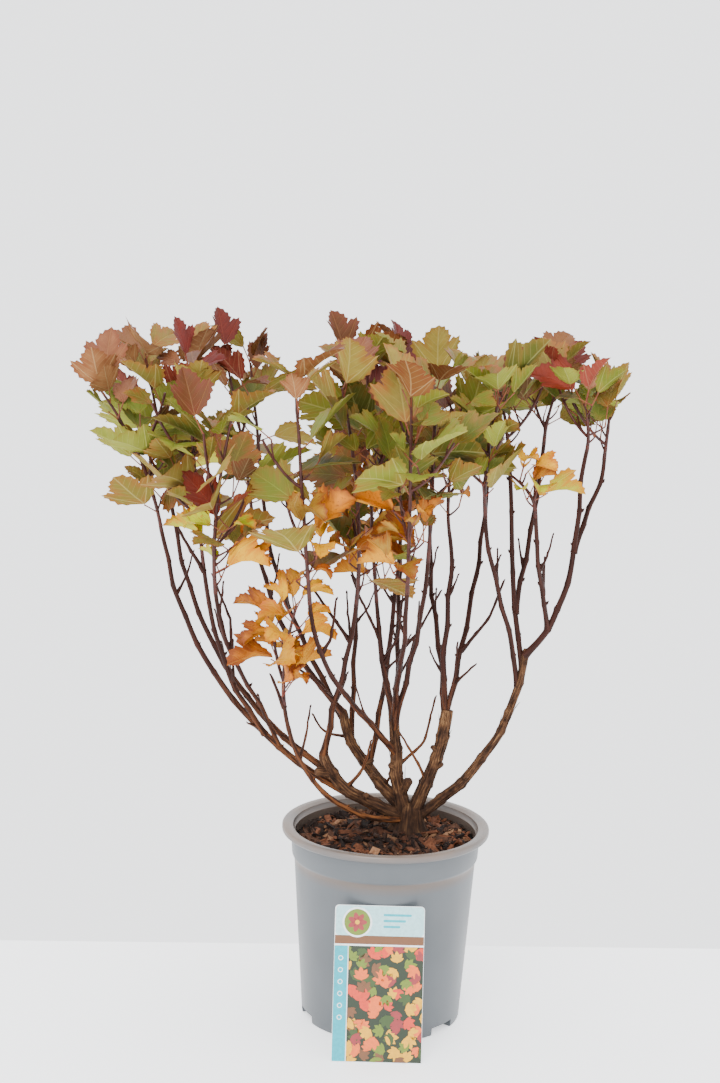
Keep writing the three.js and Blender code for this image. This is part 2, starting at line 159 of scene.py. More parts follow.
class Finish:
    """A material, with short ways to add nodes to it"""

    def __init__(self, name, roughness=0.6, gloss=0.5):
        self.material = bpy.data.materials.new(name)
        self.material.use_nodes = True
        self.tree = self.material.node_tree
        self.shader = self.tree.nodes["Principled BSDF"]
        self.shader.inputs["Roughness"].default_value = roughness
        self.shader.inputs["Specular IOR Level"].default_value = gloss

    def node(self, kind, options=None, **sockets):
        made = self.tree.nodes.new("ShaderNode" + kind)
        for option, value in (options or {}).items():
            setattr(made, option, value)
        for socket, value in sockets.items():
            self.feed(made, socket, value)
        return made

    def feed(self, node, socket, value):
        """A link or a plain value for a socket, which is told by its name or its number"""
        if isinstance(value, bpy.types.NodeSocket):
            self.tree.links.new(value, node.inputs[socket])
        else:
            node.inputs[socket].default_value = value

    def math(self, operation, first, second=0.0):
        made = self.node("Math", {"operation": operation})
        self.feed(made, 0, first)
        self.feed(made, 1, second)
        return made.outputs[0]

    def place(self, scale=(1, 1, 1), source="Object"):
        """Coordinates on the piece, stretched by a scale on each axis"""
        read = self.node("TexCoord").outputs[source]
        return self.node("Mapping", Vector=read, Scale=scale).outputs["Vector"]

    def from_axis(self):
        """Distance from the pot's axis, in metres"""
        made = self.node("VectorMath", {"operation": "LENGTH"}, Vector=self.place((1, 1, 0)))
        return made.outputs["Value"]

    def height(self):
        """Height above the pot's foot, in metres"""
        return self.node("SeparateXYZ", Vector=self.place()).outputs["Z"]

    def attribute(self, name):
        return self.node("Attribute", {"attribute_name": name}).outputs["Fac"]

    def noise(self, vector, scale, detail=4.0, roughness=0.55):
        made = self.node("TexNoise", Vector=vector, Scale=scale, Detail=detail, Roughness=roughness)
        return made.outputs["Fac"]

    def blend(self, share, first, second):
        """One colour over another, by a share from 0 to 1"""
        made = self.node("Mix", {"data_type": "RGBA"})
        self.feed(made, 0, share)
        self.feed(made, 6, first)
        self.feed(made, 7, second)
        return made.outputs[2]

    def between(self, value, low, high, new_low=0.0, new_high=1.0):
        """A value from one range moved to another, and held at its ends"""
        made = self.node("MapRange", Value=value)
        made.inputs["From Min"].default_value = low
        made.inputs["From Max"].default_value = high
        made.inputs["To Min"].default_value = new_low
        made.inputs["To Max"].default_value = new_high
        return made.outputs["Result"]

    def ramp(self, share, *stops):
        """A colour from a row of (place, digits) stops"""
        made = self.node("ValToRGB", Fac=share)
        band = made.color_ramp.elements
        while len(band) < len(stops):
            band.new(0.5)
        for element, (place, digits) in zip(band, stops):
            element.position = place
            element.color = tint(digits)
        return made.outputs["Color"]

    def colour(self, value):
        self.feed(self.shader, "Base Color", value)

    def rough(self, value):
        self.feed(self.shader, "Roughness", value)

    def bump(self, height, distance, strength=1.0):
        made = self.node("Bump", Height=height, Distance=distance, Strength=strength)
        self.feed(self.shader, "Normal", made.outputs["Normal"])


# %% [markdown]
# The floor is plain and pale. It ends a little behind the pot, because there the photograph has its edge
# between floor and wall, and it is turned a little, as that edge is. The view darkens near white, so the
# floor gives some light of its own. A curved backdrop is the usual way, but it would hide that edge.

# %% Floor
FLOOR = {"width": 9, "front": -4.5, "back": 0.19, "turn": math.radians(2.3)}
FLOOR_GLOW = 0.9
floor_depth = FLOOR["back"] - FLOOR["front"]
bpy.ops.mesh.primitive_plane_add(size=1, location=(0, FLOOR["back"] - floor_depth / 2, 0))
floor = bpy.context.object
floor.name = "floor"
floor.scale = (FLOOR["width"], floor_depth, 1)
floor.rotation_euler.z = FLOOR["turn"]
bpy.ops.object.transform_apply(location=True, rotation=True, scale=True)
floor_finish = Finish("floor_paint", 0.65)
floor_grain = floor_finish.noise(floor_finish.place(), 3.0)
floor_white = floor_finish.blend(floor_grain, tint("f0f1f3"), tint("f5f6f7"))
floor_finish.colour(floor_white)
floor_finish.feed(floor_finish.shader, "Emission Color", floor_white)
floor_finish.shader.inputs["Emission Strength"].default_value = FLOOR_GLOW
floor.data.materials.append(floor_finish.material)
print("floor:", FLOOR["width"], "by", round(floor_depth, 2), "m")

# %% [markdown]
# ## Helpers for modelling
#
# An operator acts on everything that is selected, and the frame comes in selected, so all of it is
# deselected before each piece. Small things that a plant has by the hundred are gathered as arrays of
# points and triangles in one heap, and then made one mesh: no object for each leaf, and no copies at
# render time.

# %% Helpers for modelling
def deselect():
    if bpy.context.object and bpy.context.object.mode != "OBJECT":
        bpy.ops.object.mode_set(mode="OBJECT")
    bpy.ops.object.select_all(action="DESELECT")


def choose(piece):
    deselect()
    piece.select_set(True)
    bpy.context.view_layer.objects.active = piece


def apply_modifier(piece, kind, **settings):
    choose(piece)
    made = piece.modifiers.new(kind.lower(), kind)
    for setting, value in settings.items():
        setattr(made, setting, value)
    bpy.ops.object.modifier_apply(modifier=made.name)


def settle(piece):
    """Moves the piece's place and turn into its mesh, so that its object is back at the origin"""
    choose(piece)
    bpy.ops.object.transform_apply(location=True, rotation=True, scale=True)


def smooth(piece, angle=40):
    choose(piece)
    bpy.ops.object.shade_smooth_by_angle(angle=math.radians(angle))


def triangles_of(piece):
    piece.data.calc_loop_triangles()
    return len(piece.data.loop_triangles)


def wear(piece, *finishes):
    """Gives the piece its finishes, in the order of its slots"""
    for finish in finishes:
        piece.data.materials.append(finish.material)


def stand_for(piece, slot, *nodes):
    """Makes the piece ride with the plant and stand for CAD nodes, which are hidden. Its slot is not used"""
    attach(piece, "root")
    if nodes:
        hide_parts(*nodes)
    print(f"{piece.name}: {triangles_of(piece)} triangles, stands for {len(nodes)} solids")


class Heap:
    """Points and triangles that are gathered, in millimetres, and then made one mesh in metres"""

    def __init__(self):
        self.points = []
        self.faces = []
        self.corners = []
        self.slots = []
        self.margins = []
        self.tones_and_painted_shade = []
        self.undersides = []
        self.count = 0

    def add(self, points, faces, corners, slots=0, margin=0.0, tone_and_painted_shade=0.0, underside=0.0):
        """Adds a shape. Its corners hold a UV pair for each corner of each triangle. On a leaf, margin is 1
        for a point on the outline, tone is how deep its colour is, random and deepened by painted shade,
        and underside is 1 for a face below."""
        self.points.append(points)
        self.faces.append(np.asarray(faces) + self.count)
        self.corners.append(corners)
        self.slots.append(np.broadcast_to(slots, len(faces)))
        self.margins.append(np.broadcast_to(margin, len(points)))
        self.tones_and_painted_shade.append(np.broadcast_to(tone_and_painted_shade, len(points)))
        self.undersides.append(np.broadcast_to(underside, len(faces)))
        self.count += len(points)

    def made(self, name):
        mesh = bpy.data.meshes.new(name)
        points = np.concatenate(self.points) * MM
        faces = np.concatenate(self.faces)
        mesh.from_pydata(points.tolist(), [], faces.tolist())
        layer = mesh.uv_layers.new(name="UVMap")
        layer.data.foreach_set("uv", np.concatenate(self.corners).astype(np.float32).ravel())
        mesh.polygons.foreach_set("material_index", np.concatenate(self.slots).astype(np.int32))
        kinds = (("margin", "POINT", self.margins), ("tone_and_painted_shade", "POINT", self.tones_and_painted_shade),
                 ("underside", "FACE", self.undersides))
        for title, domain, values in kinds:
            attribute = mesh.attributes.new(title, "FLOAT", domain)
            attribute.data.foreach_set("value", np.concatenate(values).astype(np.float32))
        mesh.update()
        piece = bpy.data.objects.new(name, mesh)
        bpy.context.collection.objects.link(piece)
        return piece


# %% [markdown]
# ## The pot
#
# A nursery pot is blown or moulded in one thin wall: a tapering body, a wider collar that stops stacked
# pots from jamming, and a rolled lip to lift it by. A lathe profile could be spun, but raising one ring of
# edges step by step, as here, is closer to how the wall rises in the mould and keeps each step readable.
# The notches in the foot let water out, and they are cut with boxes.

# %% Pot sizes
# the lip and the height are read from the frame, and the rest are the solid's own sizes, in metres
POT_SIDES = 96
_, pot_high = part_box("pot")
LIP_RADIUS = pot_high.x
POT_HEIGHT = pot_high.z
FOOT_RADIUS = 0.089
SHOULDER_RADIUS = 0.1015
COLLAR_RADIUS = 0.104
COLLAR_FOOT = 0.184
LIP_FOOT = 0.212
WALL = 0.0022
FLOOR_STEP = 0.0115
FLOOR_RING = 0.075
NOTCH = {"count": 6, "bearing": 20, "width": 0.034, "height": 0.009, "inner": 0.076}
print(f"pot: {2000 * LIP_RADIUS:.0f} mm across the lip, {1000 * POT_HEIGHT:.0f} mm high")


def wall_radius(height):
    return FOOT_RADIUS + (SHOULDER_RADIUS - FOOT_RADIUS) * height / COLLAR_FOOT


def arc(centre, radius, start, end, steps):
    """Points of a round stretch of the profile, its angles in degrees from outward"""
    angles = [math.radians(start + (end - start) * i / steps) for i in range(steps + 1)]
    return [(centre[0] + radius * math.cos(a), centre[1] + radius * math.sin(a)) for a in angles]


LIP_ROUND = 0.0026
inner_collar = COLLAR_RADIUS - WALL
# up the outside from the foot, round the lip, and down the inside to the raised ring under the floor
pot_profile = [
    (FOOT_RADIUS - 0.0015, 0),
    (FOOT_RADIUS - 0.0004, 0.0004),
    (wall_radius(0.0015), 0.0015),
    (wall_radius(0.012), 0.012),
    (wall_radius(0.06), 0.06),
    (wall_radius(0.12), 0.12),
    (wall_radius(0.178), 0.178),
    (SHOULDER_RADIUS + 0.0002, COLLAR_FOOT - 0.0016),
    (SHOULDER_RADIUS + 0.0012, COLLAR_FOOT + 0.0002),
    (COLLAR_RADIUS - 0.0003, COLLAR_FOOT + 0.0018),
    (COLLAR_RADIUS + 0.0001, COLLAR_FOOT + 0.0034),
    (COLLAR_RADIUS + 0.0009, 0.2),
    (COLLAR_RADIUS + 0.0014, LIP_FOOT - 0.001),
    (COLLAR_RADIUS + 0.0024, LIP_FOOT),
    (LIP_RADIUS - LIP_ROUND - 0.001, LIP_FOOT + 0.0004),
]
pot_profile += arc((LIP_RADIUS - LIP_ROUND, LIP_FOOT + LIP_ROUND), LIP_ROUND, -60, 0, 3)
pot_profile += arc((LIP_RADIUS - LIP_ROUND, POT_HEIGHT - LIP_ROUND), LIP_ROUND, 0, 90, 4)
pot_profile += [
    (COLLAR_RADIUS + 0.0048, POT_HEIGHT),
    (COLLAR_RADIUS + 0.003, POT_HEIGHT - 0.0005),
    (inner_collar + 0.0018, POT_HEIGHT - 0.0022),
    (inner_collar + 0.0012, POT_HEIGHT - 0.006),
    (inner_collar - 0.0009, POT_HEIGHT - 0.0085),
    (inner_collar - 0.0009, 0.2),
    (inner_collar, COLLAR_FOOT + 0.003),
    (SHOULDER_RADIUS - WALL, COLLAR_FOOT),
    (wall_radius(FLOOR_STEP) - WALL, FLOOR_STEP),
    (FLOOR_RING, FLOOR_STEP),
    (FLOOR_RING - 0.004, 0.003),
]

# %% Pot body
def ring_up(profile, sides):
    """A ring of edges raised and resized along a profile of (radius, height) pairs, with both ends filled"""
    deselect()
    radius, height = profile[0]
    bpy.ops.mesh.primitive_circle_add(vertices=sides, radius=radius, location=(0, 0, height),
                                      fill_type="NOTHING")
    piece = bpy.context.object
    settle(piece)
    bpy.ops.object.mode_set(mode="EDIT")
    bpy.ops.mesh.select_all(action="SELECT")
    bpy.ops.mesh.extrude_region_move()
    bpy.ops.mesh.edge_face_add()
    bpy.ops.mesh.select_all(action="DESELECT")
    bpy.ops.object.mode_set(mode="OBJECT")
    for vertex in piece.data.vertices:
        vertex.select = vertex.index < sides
    bpy.ops.object.mode_set(mode="EDIT")
    for new_radius, new_height in profile[1:]:
        bpy.ops.mesh.extrude_region_move(TRANSFORM_OT_translate={"value": (0, 0, new_height - height)})
        bpy.ops.transform.resize(value=(new_radius / radius, new_radius / radius, 1),
                                 center_override=(0, 0, new_height))
        radius, height = new_radius, new_height
    bpy.ops.mesh.edge_face_add()
    bpy.ops.mesh.select_all(action="SELECT")
    bpy.ops.mesh.remove_doubles(threshold=1e-6)
    bpy.ops.mesh.normals_make_consistent(inside=False)
    bpy.ops.object.mode_set(mode="OBJECT")
    return piece


pot = ring_up(pot_profile, POT_SIDES)
pot.name = "pot_body"

notch_depth = 2 * (FOOT_RADIUS - NOTCH["inner"])
reach = NOTCH["inner"] + notch_depth / 2
for i in range(NOTCH["count"]):
    bearing = math.radians(NOTCH["bearing"] + 360 * i / NOTCH["count"])
    deselect()
    middle = (reach * math.cos(bearing), reach * math.sin(bearing), 0)
    bpy.ops.mesh.primitive_cube_add(size=1, location=middle, rotation=(0, 0, bearing))
    cutter = bpy.context.object
    cutter.scale = (notch_depth, NOTCH["width"], 2 * NOTCH["height"])
    settle(cutter)
    apply_modifier(pot, "BOOLEAN", operation="DIFFERENCE", solver="EXACT", object=cutter)
    bpy.data.objects.remove(cutter)
smooth(pot, 32)
print("pot body:", triangles_of(pot), "triangles, with", NOTCH["count"], "notches")

# %% [markdown]
# The pot's plastic is a matt cool grey. It is never quite one grey: dust lies on the lip, the wall is a
# little cloudy, and fine scuffs catch the light. Inside, above the filling, soil has stained the wall brown.
# Dust and stain could be painted on by hand. Here they follow the height and the distance from the pot's
# axis, and noise breaks the dust's edge, so they fit whatever the pot's size is.

# %% Pot finish
# heights in metres between which the stain sets in, and its share
STAIN = {"foot": 0.17, "full": 0.18, "share": 0.85}
pot_finish = Finish("grey_plastic", 0.36, 0.7)
on_pot = pot_finish.place()
cloud = pot_finish.noise(on_pot, 14.0, 3.0)
scuff = pot_finish.noise(pot_finish.place((40, 40, 500)), 1.0, 2.0)
grit = pot_finish.noise(on_pot, 900.0, 2.0)
lip_dust = pot_finish.between(pot_finish.height(), LIP_FOOT - 0.004, POT_HEIGHT)
lip_dust = pot_finish.math("MULTIPLY", lip_dust, pot_finish.between(cloud, 0.3, 0.6, 0.35, 0.9))
plain_grey = pot_finish.blend(pot_finish.between(cloud, 0.3, 0.7), tint("3f4448"), tint("484d51"))
dusty_grey = pot_finish.blend(lip_dust, plain_grey, tint("6a5646"))
outside, inside = COLLAR_RADIUS - 0.3 * WALL, COLLAR_RADIUS - 0.8 * WALL
within = pot_finish.between(pot_finish.from_axis(), outside, inside)
above = pot_finish.between(pot_finish.height(), STAIN["foot"], STAIN["full"], 0.0, STAIN["share"])
stain = pot_finish.math("MULTIPLY", within, above)
pot_finish.colour(pot_finish.blend(stain, dusty_grey, tint("52443a")))
pot_finish.rough(pot_finish.between(cloud, 0.3, 0.7, 0.34, 0.42))
pot_finish.bump(pot_finish.math("ADD", grit, scuff), 0.00004, 0.3)
wear(pot, pot_finish)
stand_for(pot, "pot", "pot")

# %% [markdown]
# ## The filling
#
# A pot is topped with bark chips: angular scraps of many sizes, brown, rust and nearly black, that lie
# every way. A bump alone would look flat from this near, so a bed with a rough surface fills the pot, and
# many small chips lie on it. Each chip is a six-sided block with its corners pushed about, which is enough
# at this size, and one in ten is a long fibre.

# %% Filling's bed
BED_RINGS = 30
BED_SIDES = 72
BED_RADIUS = COLLAR_RADIUS - WALL - 0.0012
BED_EDGE = 0.201
LUMPS = {"size": 0.011, "height": 0.006, "middle": 0.6, "above": 0.19, "inset": 0.002}
_, mulch_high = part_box("mulch")


def bed_height(x, y):
    """The filling's surface: a low dome that dips a little to its edge"""
    share = np.hypot(x, y) / BED_RADIUS
    return mulch_high.z - (mulch_high.z - BED_EDGE) * share ** 2


bed_profile = [
    (0.071, 0.0035),
    (0.0745, FLOOR_STEP + 0.0006),
    (wall_radius(FLOOR_STEP) - WALL - 0.0006, FLOOR_STEP + 0.0006),
    (SHOULDER_RADIUS - WALL - 0.0008, COLLAR_FOOT),
    (BED_RADIUS, BED_EDGE),
]
for ring in range(1, BED_RINGS):
    reach = BED_RADIUS * (1 - ring / BED_RINGS)
    bed_profile.append((reach, float(bed_height(reach, 0))))
bed = ring_up(bed_profile, BED_SIDES)
bed.name = "mulch_bed"
lumps = bpy.data.textures.new("lumps", "CLOUDS")
lumps.noise_scale = LUMPS["size"]
on_top = [
    vertex.index for vertex in bed.data.vertices
    if vertex.co.z > LUMPS["above"] and vertex.co.xy.length < BED_RADIUS - LUMPS["inset"]
]
bed.vertex_groups.new(name="top").add(on_top, 1.0, "REPLACE")
apply_modifier(bed, "DISPLACE", texture=lumps, strength=LUMPS["height"], mid_level=LUMPS["middle"],
               direction="Z", vertex_group="top")
smooth(bed, 180)
print("bed:", len(on_top), "points of its surface made lumpy")

# %% Filling's chips
# sizes in mm: a length, and its width and thickness as shares of what they follow
CHIP = {"count": 2600, "seed": 52, "least": 3, "most": 28, "width": (0.12, 0.42), "flat": 5,
        "thickness": (0.3, 0.75), "rough": 0.19, "lean": 0.3, "roll": 0.35, "lift": (-2.0, 3.6)}
FIBRE = {"share": 0.1, "length": (15, 32), "width": (0.7, 1.4)}
COLOUR_SHARES = [0.26, 0.27, 0.41, 0.06]
CHIP_INSET = 0.005
CHIP_FACES = [(0, 2, 3, 1), (4, 5, 7, 6), (0, 1, 5, 4), (2, 6, 7, 3), (0, 4, 6, 2), (1, 3, 7, 5)]
CHIP_CORNERS = np.array([[x, y, z] for z in (-0.5, 0.5) for y in (-0.5, 0.5) for x in (-0.5, 0.5)])
chip_triangles = np.array([t for a, b, c, d in CHIP_FACES for t in ((a, b, c), (a, c, d))])


def turn_matrix(bearing, lean, roll):
    spin = Matrix.Rotation(bearing, 3, "Z") @ Matrix.Rotation(lean, 3, "Y") @ Matrix.Rotation(roll, 3, "X")
    return np.array(spin)


chips = Heap()
chance = np.random.default_rng(CHIP["seed"])
for _ in range(CHIP["count"]):
    reach = (BED_RADIUS - CHIP_INSET) * math.sqrt(chance.random())
    bearing = chance.uniform(0, 2 * math.pi)
    long = min(chance.gamma(3.0, 2.9) + CHIP["least"], CHIP["most"])
    wide = long * chance.uniform(*CHIP["width"])
    if chance.random() < FIBRE["share"]:
        long, wide = chance.uniform(*FIBRE["length"]), chance.uniform(*FIBRE["width"])
    thick = min(wide, CHIP["flat"]) * chance.uniform(*CHIP["thickness"])
    corners = CHIP_CORNERS + chance.uniform(-CHIP["rough"], CHIP["rough"], (8, 3))
    corners = corners * (long, wide, thick)
    lean = chance.normal(0, CHIP["lean"])
    turn = turn_matrix(chance.uniform(0, 2 * math.pi), lean, chance.normal(0, CHIP["roll"]))
    corners = corners @ turn.T
    x, y = reach * math.cos(bearing), reach * math.sin(bearing)
    outermost = np.hypot(corners[:, 0] + 1000 * x, corners[:, 1] + 1000 * y).max() * MM
    if outermost > BED_RADIUS:
        continue
    height = 1000 * bed_height(x, y) + chance.uniform(*CHIP["lift"]) + 0.25 * thick
    corners = corners + (1000 * x, 1000 * y, height)
    flat_uv = corners[:, :2] * 0.01
    slot = chance.choice(len(COLOUR_SHARES), p=COLOUR_SHARES)
    chips.add(corners, chip_triangles, flat_uv[chip_triangles], slot)
chip_piece = chips.made("mulch_chips")
print("chips:", len(chips.points), "of", CHIP["count"], "lie within the pot")

# %% [markdown]
# Bark scraps are dull and grainy, and near the stems their colour is made nearly black. One colour on
# them all would read as soil, so there are four finishes, dealt out by chip, and each gets darker towards
# the pot's middle.

# %% Filling finishes
# distances from the axis in metres between which the darkening fades out, and its share
MIDDLE_DARKENING = {"full": 0.03, "gone": 0.075, "share": 0.65}


def bark_chip_finish(name, dark, light):
    """Bark scraps: grainy, and darker towards the pot's middle"""
    made = Finish(name, 0.92, 0.15)
    grain = made.noise(made.place(), 420.0, 3.0)
    # the chip's colour before it is darkened towards the pot's middle
    dry = made.blend(made.between(grain, 0.3, 0.7), tint(dark), tint(light))
    darker_middle = made.between(made.from_axis(), MIDDLE_DARKENING["full"], MIDDLE_DARKENING["gone"], MIDDLE_DARKENING["share"], 0.0)
    made.colour(made.blend(darker_middle, dry, tint("140d0a")))
    made.bump(grain, 0.0004, 0.8)
    return made


bed_finish = bark_chip_finish("dark_filling", "0d0806", "1f1511")
chip_finishes = [
    bark_chip_finish("rust_chips", "472819", "6f4530"),
    bark_chip_finish("brown_chips", "301e15", "51372a"),
    bark_chip_finish("dark_chips", "120c0a", "261a15"),
    bark_chip_finish("tan_chips", "66442f", "8f6b4f"),
]
wear(bed, bed_finish)
wear(chip_piece, *chip_finishes)
stand_for(bed, "mulch", "mulch")
stand_for(chip_piece, "mulch", "mulch")

# %% [markdown]
# ## How the plant grows
#
# The shrub is grown here by the same rule as its solids: the same table of stems and canes, the same
# seeded numbers and the same tests, so every leaf sits where its solid leaf sits. Each cane is one curve
# that leaves its foot at a splay and rises nearly upright. A shoot goes on from its end, with side shoots,
# and leaves turn round each shoot by the golden angle. A leaf that would leave the crown's space or touch
# something takes another swing, or is left out.

# %% The table of limbs, in millimetres and degrees
SEED = 1359
GAP = 0.3
STOOL = {"x": 26, "y": 20, "radius": 25, "height": 34, "foot": 205}
CROWN = {"x": -54, "y": 30, "half_width": 303, "half_depth": 272, "top": 786}
STEM = {"radius": 2.2, "side_radius": 1.8, "tip_radius": 1.4, "sides": 3, "steps": 4}
CANE = {"tip_radius": 2.2, "finish": 9}
OLD_FINISH = 4
SIDE_SHOOT = {"length": (58, 84), "lean": (28, 42), "forks": (0.28, 0.55), "long_stem": 110,
              "swings": (0, 75, -75, 150), "most_out": 0.86, "leaves": 2, "steps": 2}
LEAF = {"spacing": 29, "turn": 137.5, "size": (54, 76), "young": 0.72, "petiole": (14, 23),
        "petiole_radius": 1.2, "root_radius": 0.5, "thickness": 1.3, "middle": 0.45, "droop": (-18, 34),
        "roll": 52, "swings": (0, 42, -42, 80), "fold": 0.2, "curl": 0.14, "clearance": 0.4,
        "range": 105, "slack": 18}
# half of the solid leaf's outline: across and along, as shares of its length
LEAF_HALF = [(0.36, 0.22), (0.5, 0.6), (0.25, 0.6)]

# name, bearing, reach and height of the end, splay, foot radius, end radius
OLD_STEMS = [
    ("old_stem_left", 192, 100, 302, 58, 7.5, 6),
    ("old_stem_back", 156, 84, 336, 48, 7, 5),
    ("old_stem_centre", 196, 22, 345, 12, 8, 5.5),
    ("old_stem_right", 345, 40, 350, 24, 8, 6),
    ("old_stem_long", 351, 124, 424, 52, 6, 4),
]
# name, what it springs from, share of its length, bearing, reach and height of the end,
# height of the shoot's tip, drift of that tip, splay, foot radius, leaf tint
CANES = [
    ("left_low", "stool", 0, 188, 281, 550, 700, 66, 68, 4.6, "bronze"),
    ("left_back", "old_stem_left", 0.8, 172, 279, 570, 728, 30, 62, 4, "olive"),
    ("left_front", "left_low", 0.42, 199, 242, 520, 726, 17, 40, 3.2, "crimson"),
    ("left_thin", "left_low", 0.37, 211, 247, 500, 680, -16, 30, 2.8, "green"),
    ("left_inner", "old_stem_back", 0.96, 152, 212, 540, 724, 40, 52, 3.8, "crimson"),
    ("knob", "old_stem_left", 0.97, 229, 100, 480, 712, 31, 16, 3.8, "green"),
    ("front_mid", "old_stem_centre", 0.58, 232, 184, 495, 724, 30, 46, 3.8, "olive"),
    ("back_inner", "old_stem_back", 0.45, 102, 82, 525, 718, 30, 26, 3.4, "olive"),
    ("back_mid", "old_stem_back", 0.72, 112, 173, 486, 716, 45, 26, 3.2, "bronze"),
    ("centre", "old_stem_centre", 0.97, 156, 47, 465, 720, 19, 24, 4, "olive"),
    ("centre_front", "old_stem_centre", 0.9, 265, 155, 510, 712, 35, 32, 3.8, "green"),
    ("centre_right", "old_stem_centre", 0.8, 275, 100, 534, 708, 10, 26, 3.6, "green"),
    ("right_back", "old_stem_right", 0.86, 81, 116, 520, 704, 37, 18, 3.6, "crimson"),
    ("right_mid", "old_stem_right", 0.96, 342, 36, 550, 706, 26, 10, 3.6, "amber"),
    ("right_tall", "old_stem_long", 0.97, 344, 183, 650, 698, -6, 44, 3.8, "crimson"),
    ("right_edge", "right_tall", 0.54, 3, 203, 634, 690, 4, 26, 3, "green"),
    ("right_inner", "old_stem_long", 0.8, 310, 106, 580, 706, 15, 10, 3, "green"),
    ("right_rise", "old_stem_long", 0.9, 5, 98, 636, 704, -12, 16, 3.2, "bronze"),
    ("right_far", "right_rise", 0.26, 28, 161, 642, 700, 14, 22, 3, "crimson"),
    ("right_bent", "right_tall", 0.17, 317, 162, 586, 624, -34, 30, 2.8, "yellow"),
    ("front_low", "stool", 0, 221, 183, 378, 484, -14, 82, 3.6, "amber"),
    ("back_left", "old_stem_back", 0.6, 138, 241, 555, 716, 26, 40, 3.6, "olive"),
    ("back_right", "old_stem_right", 0.5, 61, 176, 585, 692, 38, 38, 3.8, "bronze"),
    ("back_far", "old_stem_centre", 0.66, 94, 201, 529, 720, 31, 34, 3.6, "crimson"),
]


# %% [markdown]
# Each stem is drawn as a Bezier curve, and its skin as a tube of rings along it. Blender's own curve objects
# could give both, but leaves have to be tested against the solids while they grow, so points and triangles
# are needed at once, and the curve is read here by numbers.

# %% Curves
def unit(vector):
    return vector / np.linalg.norm(vector)


def seeded(seed):
    """Numbers that come out the same each time, as in the solids"""
    state = seed

    def draw(low, high):
        nonlocal state
        state = (state * 1664525 + 1013904223) % 4294967296
        return low + (high - low) * state / 4294967296

    return draw


def leaning(bearing, angle):
    """A unit vector at an angle from vertical, towards a bearing"""
    towards, from_up = math.radians(bearing), math.radians(angle)
    return np.array([
        math.cos(towards) * math.sin(from_up),
        math.sin(towards) * math.sin(from_up),
        math.cos(from_up),
    ])


def around(bearing, reach, height):
    """A point around the stool, from a bearing, a reach and a height"""
    towards = math.radians(bearing)
    return np.array([STOOL["x"] + reach * math.cos(towards), STOOL["y"] + reach * math.sin(towards), height])


class Path:
    """A Bezier curve, read by its own parameter (point) or by its length (at)"""

    def __init__(self, *control):
        self.control = np.array(control, float)
        self.knots = np.linspace(0, 1, 201)
        steps = np.linalg.norm(np.diff(self.point(self.knots), axis=0), axis=1)
        self.walked = np.concatenate([[0], np.cumsum(steps)])
        self.length = self.walked[-1]

    def point(self, t):
        t = np.asarray(t, float)[..., None]
        degree = len(self.control) - 1
        return sum(
            math.comb(degree, k) * (1 - t) ** (degree - k) * t ** k * self.control[k]
            for k in range(degree + 1)
        )

    def at(self, share):
        return self.point(np.interp(np.asarray(share) * self.length, self.walked, self.knots))

    def end_heading(self):
        return unit(self.point(1.0) - self.point(0.9999))


# %% Tubes
def rings(points, sides, radii):
    """Points of a tube round a row of centres, with frames carried along it without twist"""
    headings = np.gradient(points, axis=0)
    headings /= np.linalg.norm(headings, axis=1)[:, None]
    first = np.zeros(3)
    first[int(np.argmin(np.abs(headings[0])))] = 1
    normal = unit(np.cross(headings[0], np.cross(headings[0], first)))
    angles = 2 * np.pi * np.arange(sides) / sides
    made = []
    for centre, heading, radius in zip(points, headings, radii):
        normal = unit(normal - heading * normal.dot(heading))
        other = np.cross(heading, normal)
        circle = np.cos(angles)[:, None] * normal + np.sin(angles)[:, None] * other
        made.append(centre + circle * np.reshape(radius, (-1, 1)))
    return np.array(made)


def tube(points, sides, radii):
    """A closed tube: its points, its triangles, and a UV pair for each of their corners, in metres"""
    points = np.asarray(points)
    body = rings(points, sides, radii)
    count = len(points)
    steps = np.linalg.norm(np.diff(points, axis=0), axis=1)
    along = np.concatenate([[0], np.cumsum(steps)]) * MM
    girth = 2 * math.pi * float(np.mean(radii)) * MM
    faces = []
    corners = []
    for ring in range(count - 1):
        for side in range(sides):
            beside = (side + 1) % sides
            a, b = ring * sides + side, ring * sides + beside
            c, d = b + sides, a + sides
            left, right = girth * side / sides, girth * (side + 1) / sides
            low, high = along[ring], along[ring + 1]
            faces += [(a, b, c), (a, c, d)]
            corners += [[(left, low), (right, low), (right, high)]]
            corners += [[(left, low), (right, high), (left, high)]]
    start, end = count * sides, count * sides + 1
    for side in range(sides):
        beside = (side + 1) % sides
        last = (count - 1) * sides
        faces += [(start, beside, side), (end, last + side, last + beside)]
        corners += [[(0, along[0])] * 3, [(0, along[-1])] * 3]
    all_points = np.concatenate([body.reshape(-1, 3), points[:1], points[-1:]])
    return all_points, np.array(faces), np.array(corners)


# %% Limbs
# where a limb leaves the stool, in mm: its reach, and how far a flat or a steep one is from this level
LEAVING = {"level": STOOL["foot"] + 0.62 * STOOL["height"], "reach": 6,
           "flat_splay": 50, "flat": -7, "steep": 4}
HANDLES = (0.4, 0.35)


def stool_foot(bearing, splay):
    lift = LEAVING["flat"] if splay > LEAVING["flat_splay"] else LEAVING["steep"]
    return around(bearing, LEAVING["reach"], LEAVING["level"] + lift)


def rising(foot, end, splay, finish):
    """A curve that leaves its foot at a splay from vertical and rises to its end nearly upright"""
    bearing = math.degrees(math.atan2(end[1] - foot[1], end[0] - foot[0]))
    span = np.linalg.norm(end - foot)
    low = foot + leaning(bearing, splay) * HANDLES[0] * span
    high = end - leaning(bearing, finish) * HANDLES[1] * span
    return Path(foot, low, high, end)


